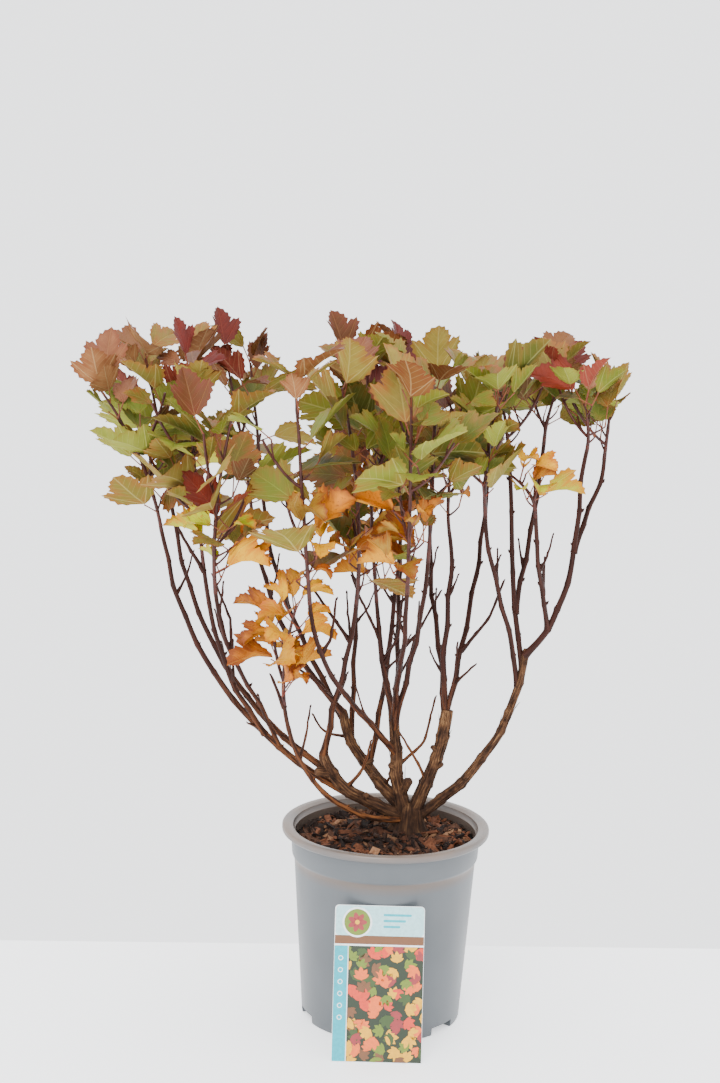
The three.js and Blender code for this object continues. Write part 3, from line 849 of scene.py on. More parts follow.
limbs = {}
for name, bearing, reach, height, splay, *_ in OLD_STEMS:
    limbs[name] = rising(stool_foot(bearing, splay), around(bearing, reach, height), splay, OLD_FINISH)
for name, parent, share, bearing, reach, height, _, _, splay, *_ in CANES:
    foot = limbs[parent].at(share) if parent in limbs else stool_foot(bearing, splay)
    limbs[name] = rising(foot, around(bearing, reach, height), splay, CANE["finish"])
print("limbs:", len(limbs))


# %% [markdown]
# Leaves stand round a shoot so that none shades the next: each is turned by the golden angle from the one
# below, and those near the tip stand steeper. A particle system could scatter them, but it knows neither
# this order nor what a leaf would touch. So each leaf gets a list of places, which differ by a swing round
# the shoot, and the first one with room is taken.

# %% Where leaves may sit
# degrees from the shoot: at its foot, how much steeper at its tip, the spread, and for young leaves
LEAF_TILT = {"low": 66, "fall": 30, "spread": 14, "young": (14, 34)}
LEAF_TAPER = 0.1


def leaf_places(root, turn, tilt, size, draw):
    """The places that a leaf may take, one for each swing, in the order they are tried"""
    petiole = draw(*LEAF["petiole"])
    droop = draw(*LEAF["droop"])
    roll = draw(-LEAF["roll"], LEAF["roll"])
    places = []
    for swing in LEAF["swings"]:
        foot = root + leaning(turn + swing, tilt) * petiole
        along = leaning(turn + swing, tilt + droop)
        normal = leaning(turn + swing, tilt + droop - 90)
        rolled = Matrix.Rotation(math.radians(roll), 3, Vector(along)) @ Vector(normal)
        places.append({"root": root, "foot": foot, "along": along, "normal": np.array(rolled), "size": size})
    return places


def shoot_leaves(path, count, ending, draw):
    """Leaves turning round a shoot, steeper towards its tip, and a few young ones at its end"""
    phase = draw(0, 360)
    places = []
    for i in range(count):
        share = (i + 0.7) / count
        spread = draw(-LEAF_TILT["spread"], LEAF_TILT["spread"])
        tilt = LEAF_TILT["low"] - LEAF_TILT["fall"] * share + spread
        size = draw(*LEAF["size"]) * (1 - LEAF_TAPER * share)
        places.append(leaf_places(path.point(share), phase + LEAF["turn"] * i, tilt, size, draw))
    for i in range(ending):
        turn = phase + LEAF["turn"] * count + 360 * i / ending
        size = draw(*LEAF["size"]) * LEAF["young"]
        tilt = draw(*LEAF_TILT["young"])
        places.append(leaf_places(path.point(0.99 - 0.05 * i), turn, tilt, size, draw))
        for place in places[-1]:
            place["young"] = True
    return places


def plain_leaf(place, margin):
    """The solid leaf: points and triangles of a folded, lobed blade on its petiole, grown by a margin"""
    foot, along, normal = place["foot"], place["along"], place["normal"]
    side = np.cross(along, normal)
    length = place["size"] + 2 * margin
    half = LEAF["thickness"] / 2 + margin
    stalk = LEAF["petiole_radius"] + margin

    def on_blade(u, v, offset=0.0):
        lift = (LEAF["fold"] * abs(u) - LEAF["curl"] * v * v) * length + offset
        return foot + side * u * length + along * (v * length - margin) + normal * lift

    def stalk_ring(centre, radius):
        return [centre - side * radius, centre + side * radius, centre - normal * 1.4 * radius]

    foot_left, foot_right, foot_under = stalk_ring(foot, stalk)
    right = [on_blade(u, v) for u, v in LEAF_HALF]
    left = [on_blade(-u, v) for u, v in reversed(LEAF_HALF)]
    ring = [foot_right, *right, on_blade(0, 1), *left, foot_left]
    middle = [on_blade(0, LEAF["middle"], half), on_blade(0, LEAF["middle"], -half)]
    points = [*ring, *middle, foot_under, *stalk_ring(place["root"], LEAF["root_radius"])]
    last = len(ring) - 1
    over, under, keel, root_left, root_right, root_under = (last + i for i in range(1, 7))
    faces = []
    for i in range(last):
        faces += [(i, i + 1, over), (i + 1, i, under)]
    faces += [
        (last, 0, over), (under, 0, keel), (under, keel, last),
        (root_left, root_right, 0), (root_left, 0, last), (0, root_right, root_under), (0, root_under, keel),
        (root_left, last, keel), (root_left, keel, root_under), (root_right, root_left, root_under),
    ]
    return np.array(points), faces


def leaf_point(place, share):
    """The point on a leaf's midrib at a share of its length"""
    return place["foot"] + place["along"] * share * place["size"]


# %% [markdown]
# A leaf may not leave the crown's space, stray into another mass's space, or touch a limb or another leaf.
# Testing every pair of triangles would take minutes. Blender's BVH tree sorts triangles into nested boxes
# and finds crossings in an instant, so each mass keeps one tree of all it has grown.

# %% Tests for room
def tree_of(solids):
    """A search tree over several sets of points and triangles"""
    points, faces, count = [], [], 0
    for some_points, some_faces in solids:
        points += [tuple(p) for p in some_points]
        faces += [tuple(int(i) + count for i in face) for face in some_faces]
        count += len(some_points)
    return BVHTree.FromPolygons(points, faces)


def node_solid(name):
    """The points of a CAD solid, in mm, and its triangles"""
    mesh = frame["nodes"][name].data
    mesh.calc_loop_triangles()
    points = np.array([vertex.co[:] for vertex in mesh.vertices]) / MM
    return points, [tuple(t.vertices) for t in mesh.loop_triangles]


wood_names = [name for name in frame["nodes"] if name.startswith(("stool", "old_stem", "cane_"))]
wood_tree = tree_of([node_solid(name) for name in wood_names])


def crown_share(point):
    """How far out in the crown a point is, seen from above: 0 in its middle and 1 at its outline"""
    across = (point[0] - CROWN["x"]) / CROWN["half_width"]
    deep = (point[1] - CROWN["y"]) / CROWN["half_depth"]
    return math.hypot(across, deep)


# how many young leaves end a mass's stem
STEM_ENDING = 3


class Mass:
    """One mass of foliage: its stem, its shoots, its leaves and the solids they have taken up"""

    def __init__(self, row, number):
        name, _, _, bearing, reach, height, crest, drift, _, _, self.tint = row
        self.name = name
        self.seed = SEED + 7919 * number
        heading = limbs[name].end_heading()
        foot = around(bearing, reach, height) + heading * GAP
        tip = around(bearing, reach + drift, crest)
        length = np.linalg.norm(tip - foot)
        self.stem = Path(foot, foot + heading * 0.45 * length, tip)
        self.near = self.stem.point(np.linspace(0, 1, 7))
        leaf_count = math.floor(length / LEAF["spacing"] + 0.5)
        self.places = shoot_leaves(self.stem, leaf_count, STEM_ENDING, seeded(self.seed))
        self.place_shoot = [0] * len(self.places)
        self.forks = SIDE_SHOOT["forks"] if length > SIDE_SHOOT["long_stem"] else SIDE_SHOOT["forks"][:1]
        self.shoots = [(self.stem, STEM["radius"])]
        self.solids = [thin_limb(self.stem, STEM["radius"], 0, STEM["steps"])]
        self.spurs = []
        self.leaves = []
        self.replant()

    def replant(self):
        """Makes the search tree again, after the mass has grown"""
        self.tree = tree_of(self.solids)

    def distance(self, point):
        """How far a point is from the mass's stem"""
        return np.linalg.norm(self.near - point, axis=1).min()


def thin_limb(path, radius, margin, steps):
    """A solid shoot: points and triangles of a coarse tube, grown by a margin"""
    shares = np.linspace(0, 1, steps + 1)
    radii = radius + (STEM["tip_radius"] - radius) * shares + margin
    points, faces, _ = tube(path.at(shares), STEM["sides"], radii)
    return points, faces


masses = [Mass(row, number) for number, row in enumerate(CANES)]
print("masses:", len(masses), "with places for", sum(len(mass.places) for mass in masses), "leaves")


def clear_of_others(solid, mass):
    """Whether a shape touches neither the wood nor another mass"""
    tree = tree_of([solid])
    if tree.overlap(wood_tree):
        return False
    return not any(other is not mass and tree.overlap(other.tree) for other in masses)


def side_choices(mass, number, draw):
    """The curves that a side shoot may take, one for each swing"""
    root = mass.stem.point(mass.forks[number])
    span = draw(*SIDE_SHOOT["length"])
    lean = draw(*SIDE_SHOOT["lean"])
    turn = draw(0, 180) + 180 * number
    for swing in SIDE_SHOOT["swings"]:
        knee = root + leaning(turn + swing, lean + 22) * 0.4 * span
        yield Path(root, knee, root + leaning(turn + swing, lean) * span)


def in_own_space(place, mass):
    """Whether a leaf is in the crown, and about as near to its own stem as to any other"""
    tip = leaf_point(place, 1)
    if crown_share(tip) > 1 or tip[2] > CROWN["top"]:
        return False
    centre = leaf_point(place, 0.5)
    own = mass.distance(centre)
    others = min(other.distance(centre) for other in masses if other is not mass)
    return own < LEAF["range"] and own < others + LEAF["slack"]


def fits(place, mass):
    """Whether a leaf has room at a place"""
    if not in_own_space(place, mass):
        return False
    if not clear_of_others(plain_leaf(place, LEAF["clearance"]), mass):
        return False
    # the petiole's foot is sunk in its own shoot, so only the leaf beyond it is tested against its mass
    beyond_shoot = {**place, "root": place["root"] + 0.7 * (place["foot"] - place["root"])}
    return not tree_of([plain_leaf(beyond_shoot, LEAF["clearance"])]).overlap(mass.tree)


# %% [markdown]
# First every mass grows its side shoots. Then all masses take turns, a leaf each, so that no mass fills the
# space of its neighbours first. This is the solids' own order, and it has to be, because every leaf that
# sits changes what fits after it.

# %% Shoots and leaves grow
for mass in masses:
    for number in range(len(mass.forks)):
        draw = seeded(mass.seed + 31 * (number + 1))
        for path in side_choices(mass, number, draw):
            solid = thin_limb(path, STEM["side_radius"], LEAF["clearance"], SIDE_SHOOT["steps"])
            if crown_share(path.control[-1]) < SIDE_SHOOT["most_out"] and clear_of_others(solid, mass):
                mass.shoots.append((path, STEM["side_radius"]))
                mass.solids.append(thin_limb(path, STEM["side_radius"], 0, SIDE_SHOOT["steps"]))
                mass.replant()
                more = shoot_leaves(path, SIDE_SHOOT["leaves"], 1, draw)
                mass.places += more
                mass.place_shoot += [len(mass.shoots) - 1] * len(more)
                break


def try_leaf(mass, choices, shoot):
    """Seats a leaf at the first place with room, and tells whether there was one"""
    for place in choices:
        if fits(place, mass):
            mass.leaves.append({**place, "shoot": shoot})
            mass.solids.append(plain_leaf(place, 0))
            mass.replant()
            return True
    return False


for rank in range(max(len(mass.places) for mass in masses)):
    for mass in masses:
        if rank < len(mass.places):
            try_leaf(mass, mass.places[rank], mass.place_shoot[rank])
main_leaves = sum(len(mass.leaves) for mass in masses)
print("leaves by the solids' rule:", main_leaves, "on", sum(len(m.shoots) for m in masses), "shoots")

# %% [markdown]
# The solids carry only the larger leaves. The real crown also has small ones on short spurs between them,
# so each shoot gets spurs by the same rule, with smaller leaves that pass the same tests. The low stems in
# the middle get more spurs, because the old leaves hang on longest there. A few windows in the crown, where
# the photograph shows sky, are kept free of leaves.

# %% Finer growth
SPUR = {"length": (10, 24), "lean": (20, 62), "leaf": (26, 44), "tilt": (20, 64), "leaves": 2, "apart": 150,
        "per_stem": 4, "per_shoot": 2}
# where spurs stand along a shoot: the first one's share, and the span of shares for them all
SPUR_RANGE = (0.12, 0.8)
# a stem that starts below this height gets more of them near its foot
LOW_STEM = {"below": 515, "spurs": 4, "range": (0.02, 0.34)}
# the windows' middles and half sizes, in pixels of the photograph
SKY = [(275, 418, 24, 32), (228, 388, 22, 16), (157, 382, 14, 20), (560, 428, 44, 20), (463, 515, 26, 22),
       (284, 336, 20, 14), (438, 336, 34, 10), (502, 344, 26, 12)]
camera_turn = np.array(camera.rotation_euler.to_matrix())


def seen_at(point):
    """Where a point in mm falls in the photograph, in pixels from its top left corner"""
    across, up, near = camera_turn.T @ (point * MM - np.array(EYE))
    scale = FOCAL_LENGTH_IN_PIXELS / -near
    return PICTURE_WIDTH / 2 + across * scale, PICTURE_HEIGHT / 2 - up * scale


def in_window(place):
    """Whether a leaf's middle or tip is seen inside one of the windows"""
    for share in (0.5, 0.95):
        x, y = seen_at(leaf_point(place, share))
        if any(math.hypot((x - left) / wide, (y - top) / high) < 1 for left, top, wide, high in SKY):
            return True
    return False


def grow_spurs(mass, shoot, count, draw, first, span):
    """Short spurs along a shoot, each kept only where one of its leaves finds room"""
    path, _ = mass.shoots[shoot]
    for i in range(count):
        share = first + span * (i + draw(0, 0.6)) / count
        root = path.point(share)
        turn = draw(0, 360)
        reach = draw(*SPUR["length"])
        end = root + leaning(turn, draw(*SPUR["lean"])) * reach
        knee = root + (end - root) * 0.5 + leaning(turn, 90) * 0.15 * reach
        spur = Path(root, knee, end)
        grew = False
        for j in range(SPUR["leaves"]):
            size = draw(*SPUR["leaf"])
            swing = turn + SPUR["apart"] * j + draw(-30, 30)
            choices = leaf_places(end, swing, draw(*SPUR["tilt"]), size, draw)
            grew = try_leaf(mass, [place for place in choices if not in_window(place)], shoot) or grew
        if grew:
            mass.spurs.append(spur)


for mass in masses:
    draw = seeded(mass.seed + 977)
    for shoot in range(len(mass.shoots)):
        count = SPUR["per_stem"] if shoot == 0 else SPUR["per_shoot"]
        grow_spurs(mass, shoot, count, draw, *SPUR_RANGE)
    if mass.stem.point(0)[2] < LOW_STEM["below"]:
        grow_spurs(mass, 0, LOW_STEM["spurs"], draw, *LOW_STEM["range"])
all_leaves = sum(len(mass.leaves) for mass in masses)
print("small leaves on spurs:", all_leaves - main_leaves)
for mass in masses:
    mass.leaves = [leaf for leaf in mass.leaves if not in_window(leaf)]
print("leaves left out of the windows:", all_leaves - sum(len(mass.leaves) for mass in masses))

# %% [markdown]
# ## One leaf, modelled once
#
# A ninebark leaf has three toothed lobes, and its blade bulges between the veins like quilting. A flat card
# with a picture of a leaf is the cheap way, but it has no edge and no body. So the blade is modelled, flat
# and one unit long: a round of points is pulled out to the outline, the veins are cut in with bisecting
# planes, and each field between veins is poked, so that its middle can be raised.

# %% Leaf outline and veins
# half of the outline, from the foot to the tip: across and along
EDGE_HALF = [
    (0.12, 0.04), (0.22, 0.12), (0.29, 0.135), (0.325, 0.225), (0.4, 0.26), (0.405, 0.345), (0.475, 0.39),
    (0.46, 0.46), (0.525, 0.52), (0.48, 0.56), (0.495, 0.65), (0.405, 0.615), (0.355, 0.655), (0.25, 0.575),
    (0.31, 0.69), (0.25, 0.72), (0.245, 0.81), (0.17, 0.83), (0.145, 0.915), (0.07, 0.93),
]
LOBE_TIP = (0.495, 0.65)
LOW_VEIN_TIP = (0.4, 0.26)
# foot and tip of what each vein cuts: the lobe's vein, the foot's, and two from the midrib
VEINS = [((0, 0), LOBE_TIP), ((0, 0), LOW_VEIN_TIP), ((0, 0.3), (0.25, 0.575)), ((0, 0.52), (0.31, 0.69))]


def face_centre_side(face, foot, tip):
    """Which side of a vein's line a face lies on: positive is above it"""
    run, rise = tip[0] - foot[0], tip[1] - foot[1]
    across = abs(face.center.x) - foot[0]
    return (face.center.y - foot[1]) * run - across * rise


def split_long_veins(blade):
    """Adds a point in the middle of each vein from outline to outline, so that both sides can part"""
    uses = {}
    for face in blade.data.polygons:
        for key in face.edge_keys:
            uses[key] = uses.get(key, 0) + 1
    on_outline = {point for key, count in uses.items() if count == 1 for point in key}
    choose(blade)
    bpy.ops.object.mode_set(mode="EDIT")
    bpy.ops.mesh.select_mode(type="EDGE")
    bpy.ops.mesh.select_all(action="DESELECT")
    bpy.ops.object.mode_set(mode="OBJECT")
    for edge in blade.data.edges:
        edge.select = uses[edge.key] == 2 and all(point in on_outline for point in edge.key)
    bpy.ops.object.mode_set(mode="EDIT")
    bpy.ops.mesh.subdivide(number_cuts=1)
    bpy.ops.mesh.select_mode(type="VERT")


# %% Leaf blade
# how far apart points may be and still be joined, as shares of the leaf's length
JOINED = {"midrib": 0.001, "vein": 0.012, "point": 0.004}


def model_blade():
    """The flat blade, as a mesh of triangles with the veins among its edges"""
    outline = [(0, 0)] + EDGE_HALF + [(0, 1)] + [(-x, y) for x, y in reversed(EDGE_HALF)]
    deselect()
    bpy.ops.mesh.primitive_circle_add(vertices=len(outline), radius=1, fill_type="NGON")
    blade = bpy.context.object
    for vertex, (x, y) in zip(blade.data.vertices, outline):
        vertex.co = (x, y, 0)
    bpy.ops.object.mode_set(mode="EDIT")
    bpy.ops.mesh.select_all(action="SELECT")
    bpy.ops.mesh.bisect(plane_co=(0, 0, 0), plane_no=(1, 0, 0), threshold=JOINED["midrib"])
    for number, (foot, tip) in enumerate(VEINS):
        for side in (1, -1):
            bpy.ops.object.mode_set(mode="OBJECT")
            for face in blade.data.polygons:
                above_lobe = face_centre_side(face, (0, 0), LOBE_TIP) > 0
                wanted = number == 0 or above_lobe == (number > 1)
                face.select = wanted and face.center.x * side > 0
            bpy.ops.object.mode_set(mode="EDIT")
            run = (tip[0] - foot[0]) * side
            rise = tip[1] - foot[1]
            bpy.ops.mesh.bisect(plane_co=(*foot, 0), plane_no=(-rise, run, 0), threshold=JOINED["vein"])
    bpy.ops.mesh.select_all(action="SELECT")
    bpy.ops.mesh.remove_doubles(threshold=JOINED["point"])
    bpy.ops.object.mode_set(mode="OBJECT")
    split_long_veins(blade)
    bpy.ops.mesh.select_all(action="SELECT")
    bpy.ops.mesh.poke()
    bpy.ops.mesh.quads_convert_to_tris()
    bpy.ops.object.mode_set(mode="OBJECT")
    return blade


blade = model_blade()
blade_points = np.array([vertex.co[:] for vertex in blade.data.vertices])
blade_faces = np.array([list(face.vertices) for face in blade.data.polygons])
upward = np.array([face.normal.z for face in blade.data.polygons]) > 0
blade_faces[~upward] = blade_faces[~upward][:, ::-1]
edge_uses = {}
for face in blade_faces:
    for a, b in zip(face, np.roll(face, -1)):
        edge = frozenset((int(a), int(b)))
        edge_uses[edge] = edge_uses.get(edge, 0) + 1
rim = sorted({point for edge, uses in edge_uses.items() if uses == 1 for point in edge})
bpy.data.objects.remove(blade)
print("leaf blade:", len(blade_points), "points,", len(blade_faces), "faces a side,", len(rim), "on its edge")


# %% [markdown]
# The blade is raised between its veins, less so at its outline. The underside is the same blade a little
# lower, and both meet at the outline, so the leaf is closed and thin. A Solidify modifier would wall the
# outline too, which doubles the faces of a leaf that is repeated hundreds of times.

# %% Both sides of a leaf
QUILT = {"height": 0.032, "full": 0.09, "at_rim": 0.45}
BLADE_THICKNESS = 0.6


def vein_distance(point):
    """How far a point is from the nearest vein, as a share of the leaf's length"""
    x, y = abs(point[0]), point[1]
    lines = [((0, 0), (0, 1)), *VEINS]
    best = 1.0
    for (ax, ay), (bx, by) in lines:
        run, rise = bx - ax, by - ay
        share = np.clip(((x - ax) * run + (y - ay) * rise) / (run * run + rise * rise), 0, 1)
        best = min(best, math.hypot(x - ax - share * run, y - ay - share * rise))
    return best


quilt = np.array([QUILT["height"] * min(1, vein_distance(p) / QUILT["full"]) for p in blade_points])
quilt[rim] *= QUILT["at_rim"]
under_index = np.arange(len(blade_points))
inner = np.array([i for i in range(len(blade_points)) if i not in set(rim)])
under_index[inner] = len(blade_points) + np.arange(len(inner))
leaf_faces = np.concatenate([blade_faces, under_index[blade_faces][:, ::-1]])
leaf_flat = np.concatenate([blade_points[:, :2], blade_points[inner, :2]])
leaf_lift = np.concatenate([quilt, quilt[inner]])
leaf_drop = np.concatenate([np.zeros(len(blade_points)), np.ones(len(inner))])
leaf_uv = leaf_flat + (0.5, 0)
leaf_underside = np.repeat([0.0, 1.0], len(blade_faces))
leaf_margin = np.isin(np.arange(len(leaf_flat)), rim).astype(float)
# how near each point is to the outline: 0 in the blade's middle, and about 1 at its outline
edge_nearness = np.clip(np.hypot(leaf_flat[:, 0] / 0.5, (leaf_flat[:, 1] - 0.45) / 0.5), 0, 1.3)
print("leaf:", len(leaf_flat), "points,", len(leaf_faces), "faces, both sides together")


# %% [markdown]
# No two leaves hang alike. Fresh ones fold a little along the midrib and curl to the tip, and dry ones have
# shrunk, cup in and ripple. Bend and twist modifiers would need an object for each leaf. Here the same
# bends are worked out for all points of a leaf at once, as the blade is laid in its place.

# %% Leaf in its place
def shaped_leaf(place, fold, cup, curl, wave, twist, shrunk, draw):
    """The blade laid in its place. Fold is the rise of each half in radians, cup is how much more its edge
    turns in, curl is the bend from foot to tip in radians, and wave is the height of the ripple"""
    length = place["size"] * shrunk
    side = np.cross(place["along"], place["normal"])
    u, v = leaf_flat[:, 0], leaf_flat[:, 1]
    phase = draw(0, 6.28)
    rise = fold + 0.5 * cup * np.abs(u)
    ripple = wave * edge_nearness ** 2 * np.sin(7 * v + 5 * u + phase)
    lift = np.abs(u) * np.sin(rise) + ripple + twist * u * v + leaf_lift
    across = u * np.cos(rise) * length
    lift = lift * length - np.where(leaf_drop > 0, BLADE_THICKNESS, 0)
    bend = curl * v
    ahead = np.sin(bend) / curl * length + lift * np.sin(bend)
    above = lift * np.cos(bend) - (1 - np.cos(bend)) / curl * length
    return (
        place["foot"]
        + side * across[:, None]
        + place["along"] * ahead[:, None]
        + place["normal"] * above[:, None]
    )


# %% [markdown]
# ## Autumn colour
#
# On this shrub the colour goes by place. Young leaves at the tips turn wine red or bronze, the middle of
# the crown stays olive to green with paler undersides, and the oldest leaves, low in the middle, are amber,
# rust and yellow. A picture of a leaf would give them all the same spots. So each shade is a plain base
# colour with veins drawn by nodes, and each leaf draws its shade from the list for its place.

# %% Shades
# by shade: its group, its colour above, its colour below, and the deeper one that clouds both
SHADES = {
    "wine": ("crimson", "681c12", "7c3426", "40100a"),
    "red": ("crimson", "762610", "803a24", "4e1007"),
    "bronze": ("bronze", "6b401b", "815831", "452105"),
    "rose": ("bronze", "8c5937", "956942", "64381f"),
    "dusk": ("bronze", "553d28", "6a4f32", "351f0c"),
    "olive": ("olive", "726525", "837731", "4c410f"),
    "khaki": ("olive", "89752f", "99853d", "60511b"),
    "leaf": ("green", "5c6619", "6b7024", "3d4309"),
    "pale": ("green", "757c23", "848832", "545915"),
    "shade": ("green", "4a4c0f", "5b5e24", "2f3005"),
    "amber": ("amber", "c27200", "b87c14", "8c4a04"),
    "rust": ("amber", "9e4c02", "965a14", "5e2204"),
    "tan": ("amber", "9a6e1c", "9a742c", "68440a"),
    "gold": ("yellow", "cc9200", "c8940a", "9e5e02"),
    "lime": ("yellow", "9ea206", "a6a331", "707105"),
}
# by group: the colour that comes in from the outline, its share, and where it sets in
MARGINS = {
    "olive": ("84401c", 0.65, 0.85),
    "green": ("7f5220", 0.55, 0.85),
    "bronze": ("5c2413", 0.6, 0.85),
    "crimson": ("3a1310", 0.4, 0.85),
    "amber": ("74360c", 1.0, 0.6),
    "yellow": ("a45008", 0.85, 0.75),
}
DRY_GROUPS = ("amber", "yellow")
# for the upper and the lower side: how far its clouds go to the deeper colour, how strongly veins show on a
# fresh and on a dry leaf, the same for freckles, and whether veins are sunk or stand out
TOP = {"clouds": 0.75, "veins": (0.38, 0.25), "freckles": (0.15, 0.6), "roughness": 0.56, "gloss": 0.22,
       "relief": -1.0}
BACK = {"clouds": 0.45, "veins": (0.48, 0.3), "freckles": (0.1, 0.5), "roughness": 0.72, "gloss": 0.1,
        "relief": 1.0}
# shares of the leaf's length: how wide a vein is, solid and faded out, and how far finer ones are apart
VEIN = {"rib": (0.006, 0.02), "lobe": (0.004, 0.015), "finer": (0.003, 0.012), "apart": 0.07, "fainter": 0.5}
PALE_VEIN = "d8cf9a"


def mixed(first, second, share):
    """The hex digits of a colour between two others"""
    pairs = [(int(first[i:i + 2], 16), int(second[i:i + 2], 16)) for i in (0, 2, 4)]
    return "".join(f"{round(a + (b - a) * share):02x}" for a, b in pairs)


# %% Leaf finishes
def vein_lines(made, across, along):
    """1 on the midrib, the lobe's vein and the side veins, and 0 between them"""
    rib = made.between(across, *VEIN["rib"], 1.0, 0.0)
    lobe_line = made.math("SUBTRACT", made.math("MULTIPLY", across, 0.796),
                          made.math("MULTIPLY", along, 0.606))
    lobe = made.between(made.math("ABSOLUTE", lobe_line), *VEIN["lobe"], 1.0, 0.0)
    slant = made.math("SUBTRACT", along, made.math("MULTIPLY", across, 0.85))
    side = made.between(made.math("PINGPONG", slant, VEIN["apart"]), *VEIN["finer"], 1.0, 0.0)
    fan = made.math("SUBTRACT", across, made.math("MULTIPLY", along, 0.55))
    low = made.between(made.math("PINGPONG", fan, VEIN["apart"]), *VEIN["finer"], 1.0, 0.0)
    in_lobe = made.math("GREATER_THAN", lobe_line, 0.0)
    finer = made.math("ADD", made.math("MULTIPLY", side, made.math("SUBTRACT", 1.0, in_lobe)),
                      made.math("MULTIPLY", low, in_lobe))
    main = made.math("MAXIMUM", rib, lobe)
    return made.math("MAXIMUM", main, made.math("MULTIPLY", finer, VEIN["fainter"]))


def leaf_finish(name, side, dry, base, shade, vein, edge, edge_share, edge_start):
    """One side of a leaf: a plain base, a little cloudy, with veins, and another colour near its outline"""
    made = Finish(name, side["roughness"], side["gloss"])
    parts = made.node("SeparateXYZ", Vector=made.node("TexCoord").outputs["UV"])
    across = made.math("ABSOLUTE", made.math("SUBTRACT", parts.outputs["X"], 0.5))
    veins = vein_lines(made, across, parts.outputs["Y"])
    cloud = made.noise(made.place(), 55.0, 3.0)
    # the tone attribute holds each leaf's random tone plus painted shade towards the crown's middle: it
    # deepens the colour and lets the outline's colour reach further in
    depth = made.math("ADD", made.between(cloud, 0.35, 0.7, 0.0, 0.6), made.attribute("tone_and_painted_shade"))
    body = made.blend(depth, tint(base), tint(shade))
    patch = made.noise(made.place(), 45.0, 4.0)
    reach = made.math("ADD", made.attribute("margin"), made.math("MULTIPLY", made.attribute("tone_and_painted_shade"), 0.35))
    rim_share = made.between(made.math("ADD", reach, patch), edge_start, edge_start + 0.8, 0.0, edge_share)
    body = made.blend(rim_share, body, tint(edge))
    speck = made.between(made.noise(made.place(), 330.0, 2.0), 0.6, 0.66, 0.0, side["freckles"][dry])
    body = made.blend(speck, body, tint(edge))
    made.colour(made.blend(made.math("MULTIPLY", veins, side["veins"][dry]), body, tint(vein)))
    fine = made.noise(made.place(), 700.0, 2.0)
    height = made.math("ADD", made.math("MULTIPLY", veins, side["relief"]), made.math("MULTIPLY", fine, 0.35))
    made.bump(height, 0.0005, 0.8)
    return made


leaf_finishes = {}
for name, (group, upper, lower, deep) in SHADES.items():
    edge, share, start = MARGINS[group]
    dry = group in DRY_GROUPS
    over = leaf_finish(name + "_leaf_top", TOP, dry, upper, mixed(upper, deep, TOP["clouds"]),
                       mixed(upper, lower, 0.9), edge, share, start)
    under = leaf_finish(name + "_leaf_back", BACK, dry, lower, mixed(lower, deep, BACK["clouds"]),
                        mixed(lower, PALE_VEIN, 0.4), mixed(edge, lower, 0.25), share, start)
    leaf_finishes[name] = (over, under)
print("leaf finishes:", 2 * len(leaf_finishes))

# %% [markdown]
# The old leaves of a shrub turn first, low and inside, and the young ones at the tips last. So each leaf
# looks up where it is, and draws its shade from the weights for that place. One shade for a whole mass
# would be simpler, but the photograph shows them mixed on every shoot.

# %% Shades by place
# in mm: the old leaves' place in the middle, and lines above, below or beside which the weights change
LOW_MIDDLE = {"top": 610, "left": -150, "right": 190}
LOW_LEFT = {"top": 620, "right": -140}
HIGH_LEFT = {"foot": 700, "right": 20}


# %% Weights of the shades
def deal(weights, draw):
    """A name drawn from a dict of weights"""
    target = draw(0, sum(weights.values()))
    for name, weight in weights.items():
        target -= weight
        if target <= 0:
            return name
    return name


def palette(leaf, mass):
    """Weights for a leaf's colour, from its place in mm and the kind of its mass"""
    x, _, z = leaf_point(leaf, 0.5)
    if mass.name == "front_low":
        return {"gold": 5, "amber": 4, "rust": 1}
    if mass.name == "right_bent":
        return {"gold": 4, "lime": 3, "amber": 1}
    if z < LOW_MIDDLE["top"] and LOW_MIDDLE["left"] < x < LOW_MIDDLE["right"]:
        return {"amber": 4, "rust": 3, "tan": 3, "gold": 1.5, "olive": 2, "leaf": 1, "shade": 1}
    if leaf.get("young") and mass.tint == "crimson":
        return {"wine": 4, "red": 6, "rose": 1}
    if leaf.get("young") and mass.tint == "bronze":
        return {"bronze": 4, "rose": 3, "red": 1, "dusk": 1}
    if leaf.get("young"):
        return {"khaki": 4, "olive": 3, "pale": 2, "bronze": 1.5, "rose": 1}
    if z < LOW_LEFT["top"] and x < LOW_LEFT["right"]:
        return {"khaki": 4, "olive": 3, "bronze": 1.5, "dusk": 1.5, "lime": 1.5, "red": 0.6}
    if z > HIGH_LEFT["foot"] and x < HIGH_LEFT["right"]:
        return {"rose": 3, "khaki": 4, "olive": 3, "wine": 1, "bronze": 1.5}
    if z < LOW_MIDDLE["top"]:
        return {"leaf": 3, "olive": 3, "tan": 1.5, "lime": 1, "shade": 1.5}
    if mass.tint == "olive":
        return {"olive": 4, "khaki": 4, "pale": 2, "leaf": 1.5, "shade": 1, "dusk": 0.6}
    return {"pale": 3.5, "leaf": 4, "olive": 3, "khaki": 1.5, "shade": 1.5, "dusk": 0.4}
